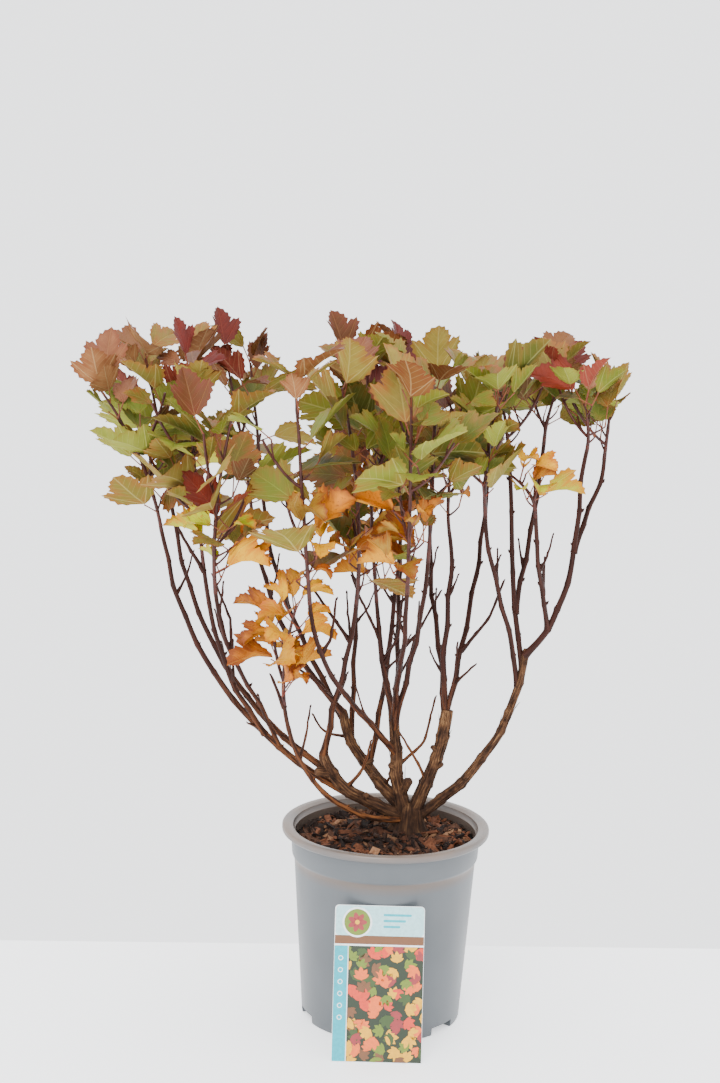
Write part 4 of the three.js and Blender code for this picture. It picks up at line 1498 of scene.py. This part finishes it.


# %% [markdown]
# Now the leaves are laid, one heap for each group of shades, so that each group is one piece. Towards the
# crown's middle, where less light falls, painted shade deepens the tone of fresh leaves. A leaf that would
# reach past the solids' box is made a little smaller. Each hangs on a thin stalk that arches from its shoot.

# %% Leaves laid
# ranges for each bend of a leaf, fresh and dry, in the order that they are drawn
BENDS = {
    False: {"fold": (0.12, 0.42), "cup": (-0.3, 0.5), "curl": (0.15, 0.55), "wave": (0.01, 0.04),
            "twist": (-0.3, 0.3)},
    True: {"fold": (0.2, 0.75), "cup": (0.4, 2.4), "curl": (0.4, 1.7), "wave": (0.03, 0.1),
           "twist": (-0.6, 0.6)},
}
DRY_SIZE = (0.64, 0.87)
TONE = (-0.5, 0.9)
# painted shade: how much a fresh leaf's tone deepens towards the crown's middle
INNER_PAINTED_SHADE = 1.2
PETIOLE = {"sides": 5, "radii": np.array([1.0, 0.75, 0.65, 0.65, 0.8]), "sag": (-0.6, 1.6)}
heaps = {}
group_shades = {}
for name, (group, *_) in SHADES.items():
    group_shades.setdefault(group, []).append(name)
    heaps.setdefault(group, Heap())

BOX_LOW, BOX_HIGH = [np.array(corner) / MM for corner in cad_box]
BOX_SPARE = 2.0


def kept_in_box(points, foot):
    """A leaf that would reach past the box round the solids, made smaller about its foot"""
    away = points - foot
    room = np.where(away > 0, BOX_HIGH - foot, foot - BOX_LOW) + BOX_SPARE
    return foot + away * min(1, (room / np.maximum(np.abs(away), 0.01)).min())


counts = dict.fromkeys(SHADES, 0)
petiole_heap = Heap()
for mass in masses:
    draw = seeded(mass.seed + 4327)
    for leaf in mass.leaves:
        shade = deal(palette(leaf, mass), draw)
        group = SHADES[shade][0]
        counts[shade] += 1
        dry = group in DRY_GROUPS
        bends = {bend: draw(*span) for bend, span in BENDS[dry].items()}
        shrunk = draw(*DRY_SIZE) if dry else 1.0
        points = kept_in_box(shaped_leaf(leaf, **bends, shrunk=shrunk, draw=draw), leaf["foot"])
        sides = leaf_underside.astype(int) + 2 * group_shades[group].index(shade)
        # towards the crown's middle a fresh leaf's tone gets painted shade
        depth = 1 - crown_share(leaf_point(leaf, 0.5))
        tone_and_painted_shade = draw(*TONE) + (0 if dry else INNER_PAINTED_SHADE * max(0, depth))
        heaps[group].add(points, leaf_faces, leaf_uv[leaf_faces], sides, leaf_margin, tone_and_painted_shade, leaf_underside)
        arch = leaf["root"] * 0.5 + leaf["foot"] * 0.5 - np.array([0, 0, draw(*PETIOLE["sag"])])
        stalk = Path(leaf["root"], arch, leaf["foot"] + leaf["along"])
        petiole_heap.add(*tube(stalk.at(np.linspace(0, 1, 5)), PETIOLE["sides"], PETIOLE["radii"]))

tint_nodes = {}
for name, *_, leaf_tint in CANES:
    tint_nodes.setdefault(leaf_tint, []).append("leaves_" + name)
for group, heap in heaps.items():
    piece = heap.made("foliage_" + group)
    smooth(piece, 75)
    wear(piece, *[finish for shade in group_shades[group] for finish in leaf_finishes[shade]])
    stand_for(piece, "leaf_" + group, *tint_nodes.get(group, []))
print("leaves by shade:", counts)

# %% [markdown]
# ## Canes, shoots and old wood
#
# Young ninebark canes are smooth and dark red-brown, with a slight kink and a swelling at each bud. Low
# down and on the old stems the bark splits into long strips, tan under brown. Each limb is a fine tube
# along its curve: its centre line gets the kinks, its radius gets the swellings, and on old wood ridges
# run along it. Arrays are used again, because each ring of each limb has its own small differences.

# %% Kinks, swellings and buds
# in mm along a limb: from bud to bud, half the width of the swelling there, and the collar at its foot
NODE_EVERY = 34
SWELLING = {"size": 0.2, "width": 2.4, "collar": 6}
# the radii of a bud, as shares of its length
BUD_RADII = np.array([0.32, 0.36, 0.06])


def kinked(path, spacing, amount, draw):
    """Centres along a path, pushed a little to one side and the other at each bud, and the buds' places"""
    count = max(8, round(path.length / spacing))
    shares = np.linspace(0, 1, count + 1)
    centres = path.at(shares)
    joints = max(2, round(path.length / NODE_EVERY))
    joint_shares = np.array([(j + draw(-0.2, 0.2)) / joints for j in range(1, joints)])
    turn = draw(0, 360)
    pushes = [np.zeros(3)]
    for j in range(len(joint_shares)):
        pushes.append(leaning(turn + 170 * j + draw(-30, 30), 90) * draw(0.4, 1.0) * amount)
    pushes.append(np.zeros(3))
    knots = np.concatenate([[0], joint_shares, [1]])
    offset = np.stack([np.interp(shares, knots, [p[k] for p in pushes]) for k in range(3)], axis=1)
    return centres + offset, shares, joint_shares


def swollen(shares, joint_shares, length, foot_radius, end_radius, collar):
    """Radii along a limb: tapering, wider at each bud and where it leaves its parent"""
    radii = foot_radius + (end_radius - foot_radius) * shares
    for joint in joint_shares:
        away = (shares - joint) * length
        radii = radii * (1 + SWELLING["size"] * np.exp(-(away / SWELLING["width"]) ** 2))
    return radii * (1 + collar * np.exp(-shares * length / SWELLING["collar"]))


def bud(heap, root, turn, size):
    """A small pointed bud that hugs its cane"""
    tip = root + leaning(turn, 38) * size
    centres = np.array([root, root * 0.6 + tip * 0.4, tip])
    heap.add(*tube(centres, 5, BUD_RADII * size))


# %% Canes
# in mm: from ring to ring and the kinks' size, then how much wider the foot is, and the share with buds
CANE_TUBE = {"sides": 8, "rings": 4.5, "kinks": 2.0, "collar": 0.45, "budding": 0.75}
cane_heap = Heap()
for name, _, _, bearing, *_, foot_radius, _ in CANES:
    draw = seeded(SEED + 5 * len(name) + int(bearing))
    path = limbs[name]
    centres, shares, joints = kinked(path, CANE_TUBE["rings"], CANE_TUBE["kinks"], draw)
    radii = swollen(shares, joints, path.length, foot_radius, CANE["tip_radius"], CANE_TUBE["collar"])
    cane_heap.add(*tube(centres, CANE_TUBE["sides"], radii))
    for j, joint in enumerate(joints):
        if draw(0, 1) < CANE_TUBE["budding"]:
            centre = np.array([np.interp(joint, shares, centres[:, k]) for k in range(3)])
            turn = 170 * j + draw(0, 60)
            radius = foot_radius + (CANE["tip_radius"] - foot_radius) * joint
            bud(cane_heap, centre + leaning(turn, 90) * radius * 0.8, turn, draw(3.0, 5.0))
print("canes:", len(CANES))

# %% [markdown]
# Between the canes stand thin bare twigs, whose leaves have dropped. The ones that show clearly in the
# photograph are listed by what they spring from and the places they pass. A curve object for each would do,
# but the same tubes as for canes give them the same swellings and buds. A few short ones follow a seeded
# rule, and only in the band of heights where the canes stand bare.

# %% Bare twigs
# what each springs from, share of its length, then the places it passes, in mm from its foot
BARE_TWIGS = [
    ("old_stem_back", 0.76, (-25, -6, 4), (-36, -8, 14), (-41, -9, 26)),
    ("old_stem_left", 0.59, (16, -8, 21), (23, -12, 39), (26, -14, 59)),
    ("old_stem_back", 0.25, (6, -10, 13), (12, -16, 29)),
    ("old_stem_right", 0.29, (-10, -5, 22), (-33, -9, 60)),
    ("back_right", 0.28, (24, -6, 25)),
    ("knob", 0.36, (-9, -4, 9), (-25, -6, 27), (-51, -10, 45)),
    ("front_low", 0.99, (-15, 3, 34)),
    ("left_front", 0.96, (-16, -4, 26), (-32, -6, 55)),
    ("left_thin", 0.66, (-1, -9, 39), (-20, -16, 88)),
    ("old_stem_right", 0.87, (9, -8, 63), (10, -12, 95)),
    ("back_right", 0.4, (32, 4, 40), (47, 8, 83)),
    ("right_bent", 0.32, (-1, -9, 42)),
    ("left_front", 0.05, (-13, -4, 5)),
    ("back_left", 0.42, (16, -8, 39)),
    ("centre", 0.48, (17, 6, 24), (21, 8, 78)),
    ("front_mid", 0.76, (10, 4, 15), (14, 6, 58)),
    ("back_far", 0.39, (22, -8, 28), (47, -12, 79)),
    ("knob", 0.77, (-34, 6, 45), (-52, 9, 72)),
    ("old_stem_centre", 0.45, (30, 8, 26), (41, 12, 78)),
    ("centre", 0.67, (-22, -5, 44), (-33, -9, 72)),
]
# the short ones: how many each cane may have, their radius, and the heights between which they may start
SHORT_TWIGS = {"count": 2, "radius": 1.6, "foot": 290, "top": 540}
TWIG_TUBE = {"sides": 6, "rings": 5, "taper": 0.55, "collar": 0.5}


def bare_twig(heap, root, steps, foot_radius, draw):
    """A thin twig through a few places, with its bends rounded, small kinks, and a bud at its tip"""
    knots = np.array([root, *[root + np.array(step) for step in steps]])
    walked = np.concatenate([[0], np.cumsum(np.linalg.norm(np.diff(knots, axis=0), axis=1))])
    length = walked[-1]
    count = max(5, round(length / TWIG_TUBE["rings"]))
    shares = np.linspace(0, 1, count)
    centres = np.stack([np.interp(shares * length, walked, knots[:, k]) for k in range(3)], axis=1)
    for _ in range(2):
        centres[1:-1] = (centres[:-2] + 2 * centres[1:-1] + centres[2:]) / 4
    for k in range(2, count - 1, 3):
        centres[k] += leaning(draw(0, 360), 90) * draw(0.3, 0.9)
    joints = np.arange(1, count - 1, 4) / (count - 1)
    end_radius = TWIG_TUBE["taper"] * foot_radius
    radii = swollen(shares, joints, length, foot_radius, end_radius, TWIG_TUBE["collar"])
    heap.add(*tube(centres, TWIG_TUBE["sides"], radii))
    heading = math.degrees(math.atan2(knots[-1][1] - knots[-2][1], knots[-1][0] - knots[-2][0]))
    bud(heap, centres[-1], heading, draw(2.5, 4.0))


twig_draw = seeded(SEED + 808)
for parent, share, *steps in BARE_TWIGS:
    bare_twig(cane_heap, limbs[parent].at(share), steps, twig_draw(1.8, 2.4), twig_draw)
for name, *_ in CANES:
    for _ in range(SHORT_TWIGS["count"]):
        root = limbs[name].at(twig_draw(0.2, 0.92))
        turn, lean, long = twig_draw(0, 360), twig_draw(22, 50), twig_draw(18, 58)
        if SHORT_TWIGS["foot"] < root[2] < SHORT_TWIGS["top"]:
            first = leaning(turn, lean) * 0.5 * long
            second = first + leaning(turn, 0.5 * lean) * 0.5 * long
            bare_twig(cane_heap, root, [first, second], SHORT_TWIGS["radius"], twig_draw)
canes = cane_heap.made("canes")
smooth(canes, 60)
print("canes with their twigs and buds:", triangles_of(canes), "triangles")

# %% [markdown]
# Each mass of leaves hangs on one stem with shoots and spurs. The solids stay a hair apart, but a real stem
# has no gap, so here the stem starts inside its cane. The leaf stalks are a piece of their own, because
# their skin is redder and smoother.

# %% Shoots and petioles
INTO_CANE = 3.0
SHOOT_TUBE = {"sides": 6, "rings": 6, "kinks": 0.5, "collar": 0.1}
SPUR_RADII = np.array([1.4, 1.1, 1.0, 0.9])
shoot_heap = Heap()
for mass in masses:
    draw = seeded(mass.seed + 11)
    for number, (path, radius) in enumerate(mass.shoots):
        centres, shares, joints = kinked(path, SHOOT_TUBE["rings"], SHOOT_TUBE["kinks"], draw)
        radii = swollen(shares, joints, path.length, radius, STEM["tip_radius"], SHOOT_TUBE["collar"])
        if number == 0:
            heading = centres[1] - centres[0]
            centres[0] -= heading / np.linalg.norm(heading) * INTO_CANE
        shoot_heap.add(*tube(centres, SHOOT_TUBE["sides"], radii))
    for spur in mass.spurs:
        shoot_heap.add(*tube(spur.at(np.linspace(0, 1, len(SPUR_RADII))), 5, SPUR_RADII))
shoots = shoot_heap.made("shoots")
smooth(shoots, 60)
petioles = petiole_heap.made("petioles")
smooth(petioles, 60)
print("shoots:", triangles_of(shoots), "triangles, and petioles:", triangles_of(petioles))

# %% [markdown]
# The old stems and the stool they rise from have thick bark with long ridges. A Displace modifier would
# need a mesh several times as fine. Here each ring of the tube gets its own radii, from waves that wander
# round the limb as they run along it, and the bark's finish adds what is smaller.

# %% Old wood
OLD_TUBE = {"sides": 14, "rings": 3, "kinks": 2.2, "collar": 0.25}
# the right stem was sawn off, so its end stays wide. The others narrow at their last three rings.
SAWN = "old_stem_right"
NARROWING = (0.95, 0.8, 0.5)
# radius and height up the stool, as shares of the whole
STOOL_PROFILE = [(1.0, 0.0), (0.8, 0.18), (0.62, 0.5), (0.55, 0.82), (0.3, 1.0)]
STOOL_TUBE = {"sides": 24, "rings": 16}


def ridged(shares, radii, length, sides, draw):
    """A radius for each point of each ring: ridges run along the limb and lumps break them up"""
    angles = 2 * np.pi * np.arange(sides) / sides
    walked = shares[:, None] * length
    made = np.ones((len(shares), sides))
    for _ in range(5):
        folds = round(draw(2, 6))
        made += draw(0.03, 0.07) * np.sin(folds * angles + walked / draw(14, 40) + draw(0, 6.28))
    made += 0.07 * np.sin(walked / draw(5, 9) + draw(0, 6.28)) * np.sin(angles + draw(0, 6.28))
    return radii[:, None] * made


old_heap = Heap()
for name, bearing, *_, foot_radius, end_radius in OLD_STEMS:
    draw = seeded(SEED + round(bearing))
    path = limbs[name]
    centres, shares, joints = kinked(path, OLD_TUBE["rings"], OLD_TUBE["kinks"], draw)
    radii = swollen(shares, joints, path.length, foot_radius, end_radius, OLD_TUBE["collar"])
    if name != SAWN:
        radii[-3:] *= NARROWING
    bark_radii = ridged(shares, radii, path.length, OLD_TUBE["sides"], draw)
    old_heap.add(*tube(centres, OLD_TUBE["sides"], bark_radii))
shares = np.linspace(0, 1, STOOL_TUBE["rings"])
stool_low = STOOL["foot"] + GAP
centres = np.array([[STOOL["x"], STOOL["y"], stool_low + share * STOOL["height"]] for share in shares])
radii = STOOL["radius"] * np.interp(shares, [h for _, h in STOOL_PROFILE], [r for r, _ in STOOL_PROFILE])
bark_radii = ridged(shares, radii, STOOL["height"], STOOL_TUBE["sides"], seeded(SEED + 3))
old_heap.add(*tube(centres, STOOL_TUBE["sides"], bark_radii))

# %% [markdown]
# Side stems were sawn off or broke, and left short stubs. Strips of bark have come loose at one end. Both
# are tubes like the rest: a stub has a blunt end, and a strip is a flat tube that lifts off as it rises.

# %% Stubs and strips of bark
# what each stub stands on, share of its length, its run in mm, its radius
STUBS = [
    ("old_stem_centre", 0.16, (8, -16, 22), 4.6),
    ("old_stem_centre", 0.42, (-9, -7, 7), 3.4),
    ("old_stem_right", 0.42, (11, -4, 9), 3.2),
    ("old_stem_right", 0.6, (-8, -8, 8), 2.8),
    ("old_stem_left", 0.78, (-17, -6, 4), 5.0),
    ("old_stem_left", 0.4, (2, -12, 9), 3.4),
    ("old_stem_back", 0.5, (9, -8, 6), 3.0),
    ("old_stem_back", 0.32, (-8, -8, 8), 3.4),
    ("old_stem_long", 0.3, (4, -10, 8), 2.8),
]
STUB_SIDES = 10
STRIP = {"count": 70, "length": (10, 30), "lift": (0.5, 3.5), "half_width": (0.8, 1.6), "flatness": 0.35}
STRIP_WIDTHS = np.array([0.5, 0.9, 1.0, 0.9, 0.7, 0.25])
for name, share, run, radius in STUBS:
    draw = seeded(SEED + 77 + round(100 * share))
    root = limbs[name].at(share)
    shares = np.linspace(0, 1, 9)
    centres = root + shares[:, None] * np.array(run, float)
    radii = radius * (1 + 0.25 * np.exp(-shares * 4)) * np.interp(shares, [0, 0.9, 1], [1, 1.08, 0.8])
    bark_radii = ridged(shares, radii, float(np.linalg.norm(run)), STUB_SIDES, draw)
    old_heap.add(*tube(centres, STUB_SIDES, bark_radii))
strip_draw = seeded(SEED + 515)
for number in range(STRIP["count"]):
    name, *_, foot_radius, end_radius = OLD_STEMS[number % len(OLD_STEMS)]
    share = strip_draw(0.05, 0.8)
    path = limbs[name]
    away = leaning(strip_draw(0, 360), 90)
    radius = foot_radius + (end_radius - foot_radius) * share
    long = strip_draw(*STRIP["length"])
    rises = np.linspace(0, 1, len(STRIP_WIDTHS))
    lift = strip_draw(*STRIP["lift"]) * rises ** 2
    centres = path.at(share + rises * long / path.length) + away * (0.95 * radius + lift)[:, None]
    wide = strip_draw(*STRIP["half_width"]) * STRIP_WIDTHS
    flat = STRIP["flatness"] * wide
    old_heap.add(*tube(centres, 4, np.stack([wide, flat, wide, flat], axis=1)))
old_wood = old_heap.made("old_wood")
smooth(old_wood, 60)
print("old wood:", triangles_of(old_wood), "triangles")

# %% [markdown]
# Bark is made of long streaks. Noise that is stretched along the limb, read from the UV map that runs
# round and along each tube, gives the strips of the old wood. On the canes the colour also turns from tan
# low down to dark red-brown above, as the young bark has not split yet. A picture of bark would show its
# repeats on 29 limbs, and noise has none.

# %% Bark finishes
old_bark = Finish("old_bark", 0.9, 0.15)
streak = old_bark.noise(old_bark.place((520, 46, 1), "UV"), 1.0, 5.0, 0.65)
flake = old_bark.noise(old_bark.place(), 75.0, 5.0)
strip = old_bark.math("ADD", old_bark.math("MULTIPLY", streak, 0.65), old_bark.math("MULTIPLY", flake, 0.35))
dry_bark = old_bark.ramp(strip, (0.37, "160d08"), (0.47, "342116"), (0.56, "573b26"), (0.67, "8e6c49"))
low_bark = old_bark.between(old_bark.height(), 0.21, 0.26, 0.7, 0.0)
old_bark.colour(old_bark.blend(low_bark, dry_bark, tint("1d120c")))
old_bark.bump(strip, 0.0022, 1.0)
wear(old_wood, old_bark)

cane_bark = Finish("cane_bark", 0.5, 0.1)
cane_streak = cane_bark.noise(cane_bark.place((320, 30, 1), "UV"), 1.0, 4.0)
low_cane = cane_bark.between(cane_bark.height(), 0.24, 0.4, 1.0, 0.0)
peel = cane_bark.between(cane_streak, 0.44, 0.56)
low_colour = cane_bark.blend(peel, tint("2a180f"), tint("6b4022"))
high_colour = cane_bark.blend(cane_bark.between(cane_streak, 0.35, 0.7), tint("1f0f0b"), tint("3e2018"))
cane_bark.colour(cane_bark.blend(low_cane, high_colour, low_colour))
cane_bark.rough(cane_bark.between(low_cane, 0.0, 1.0, 0.55, 0.8))
cane_bark.bump(cane_streak, 0.0005, 0.8)
wear(canes, cane_bark)


def young_skin(name, roughness, grain, detail, dark, light, relief, strength):
    """The smooth skin of a shoot or a leaf stalk: two colours by fine noise, and a slight relief"""
    made = Finish(name, roughness, 0.25)
    noise = made.noise(made.place(), grain, detail)
    made.colour(made.blend(made.between(noise, 0.3, 0.7), tint(dark), tint(light)))
    made.bump(noise, relief, strength)
    return made


wear(shoots, young_skin("shoot_bark", 0.45, 160.0, 3.0, "2a110e", "4a2118", 0.0002, 0.5))
wear(petioles, young_skin("petiole_skin", 0.5, 90.0, 2.0, "5e221a", "7c4a2c", 0.0001, 0.4))
stand_for(old_wood, "old_wood", "stool", *[row[0] for row in OLD_STEMS])
stand_for(canes, "young_bark", *["cane_" + row[0] for row in CANES])
stand_for(shoots, "young_bark")
stand_for(petioles, "young_bark")

# %% [markdown]
# ## The card
#
# A printed plant card leans on the pot. An image texture is the usual way to print one, but it needs an
# image. This card gets a plain pattern of its own: a sheet with round corners, and flat shapes laid on it
# in thin layers, which stay sharp at any distance. First its lean is worked out, from where its top edge
# meets the wall.

# %% Card's place
CARD = {"width": 0.096, "length": 0.165, "thickness": 0.0012, "foot": 0.14, "offset": -0.005}
card_low, card_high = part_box("plant_card")
wall_slope = (SHOULDER_RADIUS - FOOT_RADIUS) / COLLAR_FOOT
stand_off = CARD["foot"] - FOOT_RADIUS - GAP * MM
card_lean = math.asin(stand_off / (CARD["length"] * math.hypot(1, wall_slope))) - math.atan(wall_slope)
card_rise = CARD["thickness"] * math.sin(card_lean) + GAP * MM
CARD_PLACE = Matrix.Translation((CARD["offset"], -CARD["foot"], card_rise))
CARD_PLACE = CARD_PLACE @ Matrix.Rotation(math.pi / 2 - card_lean, 4, "X")
print("card leans", round(math.degrees(card_lean), 1), "degrees")
print("card's CAD box:", [[round(value, 4) for value in corner] for corner in (card_low, card_high)])


# %% Sheets and outlines
def flat_sheet(name, outline, depth, layer):
    """A thin sheet on the card's face, from an outline of (across, up) pairs in metres"""
    deselect()
    bpy.ops.mesh.primitive_circle_add(vertices=len(outline), radius=1, fill_type="NGON")
    sheet = bpy.context.object
    sheet.name = name
    for vertex, (x, y) in zip(sheet.data.vertices, outline):
        vertex.co = (x, y, layer)
    bpy.ops.object.mode_set(mode="EDIT")
    bpy.ops.mesh.select_all(action="SELECT")
    bpy.ops.mesh.extrude_region_move(TRANSFORM_OT_translate={"value": (0, 0, depth)})
    bpy.ops.mesh.select_all(action="SELECT")
    bpy.ops.mesh.normals_make_consistent(inside=False)
    bpy.ops.object.mode_set(mode="OBJECT")
    return sheet


def oblong(left, low, right, high):
    """The outline of a rectangle"""
    return [(left, low), (right, low), (right, high), (left, high)]


def rounded(left, low, right, high, radius, steps=5):
    """The outline of a rectangle with round corners"""
    centres = [(right - radius, high - radius, 0), (left + radius, high - radius, 90),
               (left + radius, low + radius, 180), (right - radius, low + radius, 270)]
    return [point for x, y, start in centres for point in arc((x, y), radius, start, start + 90, steps)]


def oval(centre, width, height, turn, steps=12):
    """A pointed oval, as a simple leaf, or a round one where both sizes agree"""
    made = []
    for i in range(steps):
        angle = 2 * math.pi * i / steps
        taper = 1 - 0.35 * abs(math.sin(angle)) ** 3 * (width != height)
        x, y = width / 2 * math.cos(angle) * taper, height / 2 * math.sin(angle)
        made.append((centre[0] + x * math.cos(turn) - y * math.sin(turn),
                     centre[1] + x * math.sin(turn) + y * math.cos(turn)))
    return made


# %% [markdown]
# Print is a thin even layer of colour under a slight gloss. One finish would do with a picture. Here each
# colour is its own finish, with the faint unevenness that paper gives.

# %% Printed colours
INKS = {"white": "e6eaea", "pale_blue": "a6d3d6", "bright_blue": "00a4b4", "deep_green": "1a2812",
        "coral": "d23a1c", "yellow": "dca000", "lime": "66791a", "rose": "8f2a2c", "brown": "6b4222",
        "moss": "33481a", "peach": "e4641e"}


def paint(name, digits):
    """A printed colour"""
    made = Finish(name, 0.35)
    spread = made.noise(made.place(), 300.0, 2.0)
    made.colour(made.blend(made.between(spread, 0.3, 0.7), tint(digits), tint(mixed(digits, "202020", 0.1))))
    return made


card_finishes = {ink: paint("card_" + ink, digits) for ink, digits in INKS.items()}

# %% Print
# in metres: a layer of print, the band's width, the header's foot, the white margin and the gap in between
LAYER = 0.00004
BAND = 0.0145
HEADER = 0.123
MARGIN = 0.0004
LOW_MARGIN = 0.0006
BETWEEN = 0.001
CORNER = 0.004
right = CARD["width"] / 2
left = -right
top = CARD["length"]
PICTURE = (left + BAND + BETWEEN, LOW_MARGIN, right - MARGIN, HEADER - BETWEEN)
sheets = []


def lay(outline, ink, level):
    """A flat shape in one colour, laid on the card in the layer of this number"""
    sheet = flat_sheet("card_part", outline, LAYER, CARD["thickness"] + level * LAYER)
    sheet.data.materials.append(card_finishes[ink].material)
    sheets.append(sheet)


base_sheet = flat_sheet("card_print", rounded(left, 0, right, top, CORNER), CARD["thickness"], 0)
base_sheet.data.materials.append(card_finishes["white"].material)
lay(oblong(*PICTURE), "deep_green", 0)
lay(oblong(left + MARGIN, LOW_MARGIN, left + BAND, HEADER - BETWEEN), "bright_blue", 0)
lay(oblong(left + MARGIN, HEADER + BETWEEN, right - MARGIN, HEADER + 0.01), "brown", 0)
lay(rounded(left + 0.001, HEADER + 0.01, right - 0.0006, top - 0.0006, CORNER), "pale_blue", 0)

# %% [markdown]
# The picture is a bed of small leaves on dark green. Each leaf has five leaflets, and all are laid at
# seeded places in rows. Leaflets that overlap at one height would flicker, so they take turns in twelve
# thin layers.

# %% Leaves of the picture
LAYERS = 12
ROWS = 12
COLUMNS = 7
LEAF_SIZE = (0.0115, 0.0165)
# the turn of each leaflet in radians, and its share of the leaf's size
LEAFLETS = ((-1.15, 0.7), (1.15, 0.7), (-0.6, 0.9), (0.6, 0.9), (0, 1.0))
LEAF_INKS = ("moss", "lime", "brown", "coral", "peach", "coral", "yellow", "yellow", "rose", "peach")
card_draw = seeded(64)


def trimmed(outline):
    """An outline cut off at the picture's sides, or nothing where too little is left"""
    made = []
    for x, y in outline:
        point = (min(max(x, PICTURE[0]), PICTURE[2]), min(max(y, PICTURE[1]), PICTURE[3]))
        if all(math.dist(point, other) > 0.0003 for other in made):
            made.append(point)
    ahead = made[1:] + made[:1]
    area = sum(a[0] * b[1] - b[0] * a[1] for a, b in zip(made, ahead)) / 2
    return made if len(made) > 2 and area > 0.000004 else None


placed = 0
for row in range(ROWS):
    for column in range(COLUMNS):
        x = PICTURE[0] + (PICTURE[2] - PICTURE[0]) * (column + card_draw(0, 0.6)) / 6.6
        y = PICTURE[1] + (PICTURE[3] - PICTURE[1]) * (row + card_draw(0, 0.6)) / 11.6
        ink = LEAF_INKS[int(card_draw(0, 9.99))]
        turn = card_draw(0, 2 * math.pi)
        size = card_draw(*LEAF_SIZE)
        for spread, share in LEAFLETS:
            long = size * share
            angle = turn + spread
            centre = (x + 0.35 * long * math.cos(angle), y + 0.35 * long * math.sin(angle))
            leaflet = trimmed(oval(centre, long, 0.4 * long, angle, 8))
            if leaflet:
                lay(leaflet, ink, 1 + placed % LAYERS)
                placed += 1
print("leaflets on the card:", placed)

# %% [markdown]
# The rest of the pattern is rings down the band, a round badge with a simple flower, and three bars. They
# could be one drawing, but as flat shapes, laid over each other in their own layers, each is one line.

# %% Rings, badge and bars
# sizes in metres: across each ring, the badge, its field, a petal and the flower's eye
RINGS = {"count": 6, "first": 0.014, "apart": 0.0125, "outer": 0.0055, "inner": 0.0036}
BADGE = {"middle": (left + 0.024, HEADER + 0.024), "outer": 0.032, "inner": 0.028, "eye": 0.005}
PETAL = {"count": 7, "reach": 0.006, "long": 0.009, "wide": 0.0055}
BARS = {"left": 0.004, "foot": HEADER + 0.031, "apart": 0.0062, "high": 0.0024, "long": (0.03, 0.024, 0.018)}


def dot(centre, width, ink, level, steps=12):
    """A round spot"""
    lay(oval(centre, width, width, 0, steps), ink, level)


for i in range(RINGS["count"]):
    centre = (left + BAND / 2, HEADER - RINGS["first"] - RINGS["apart"] * i)
    dot(centre, RINGS["outer"], "white", 1)
    dot(centre, RINGS["inner"], "bright_blue", 2)
badge_x, badge_y = BADGE["middle"]
dot(BADGE["middle"], BADGE["outer"], "white", 1, 28)
dot(BADGE["middle"], BADGE["inner"], "lime", 2, 28)
for petal in range(PETAL["count"]):
    angle = 2 * math.pi * petal / PETAL["count"]
    centre = (badge_x + PETAL["reach"] * math.cos(angle), badge_y + PETAL["reach"] * math.sin(angle))
    lay(oval(centre, PETAL["long"], PETAL["wide"], angle), "rose", 3)
dot(BADGE["middle"], BADGE["eye"], "yellow", 4)
for i, long in enumerate(BARS["long"]):
    foot = BARS["foot"] - BARS["apart"] * i
    bar = rounded(BARS["left"], foot, BARS["left"] + long, foot + BARS["high"], 0.001, 3)
    lay(bar, "bright_blue", 1)

# %% Card joined
deselect()
for sheet in sheets:
    sheet.select_set(True)
base_sheet.select_set(True)
bpy.context.view_layer.objects.active = base_sheet
bpy.ops.object.join()
card = bpy.context.object
card.matrix_world = CARD_PLACE
settle(card)
print("card:", len(sheets), "flat shapes on its sheet")
stand_for(card, "card", "plant_card")

# %% [markdown]
# ## Sizes
#
# The dressed plant has to keep the frame's size, so the frame's box is written down.
# Leaves may pass the solids by a hair, and nothing by more than that.

# %% Sizes
print("CAD box:", [[round(value, 4) for value in corner] for corner in cad_box])
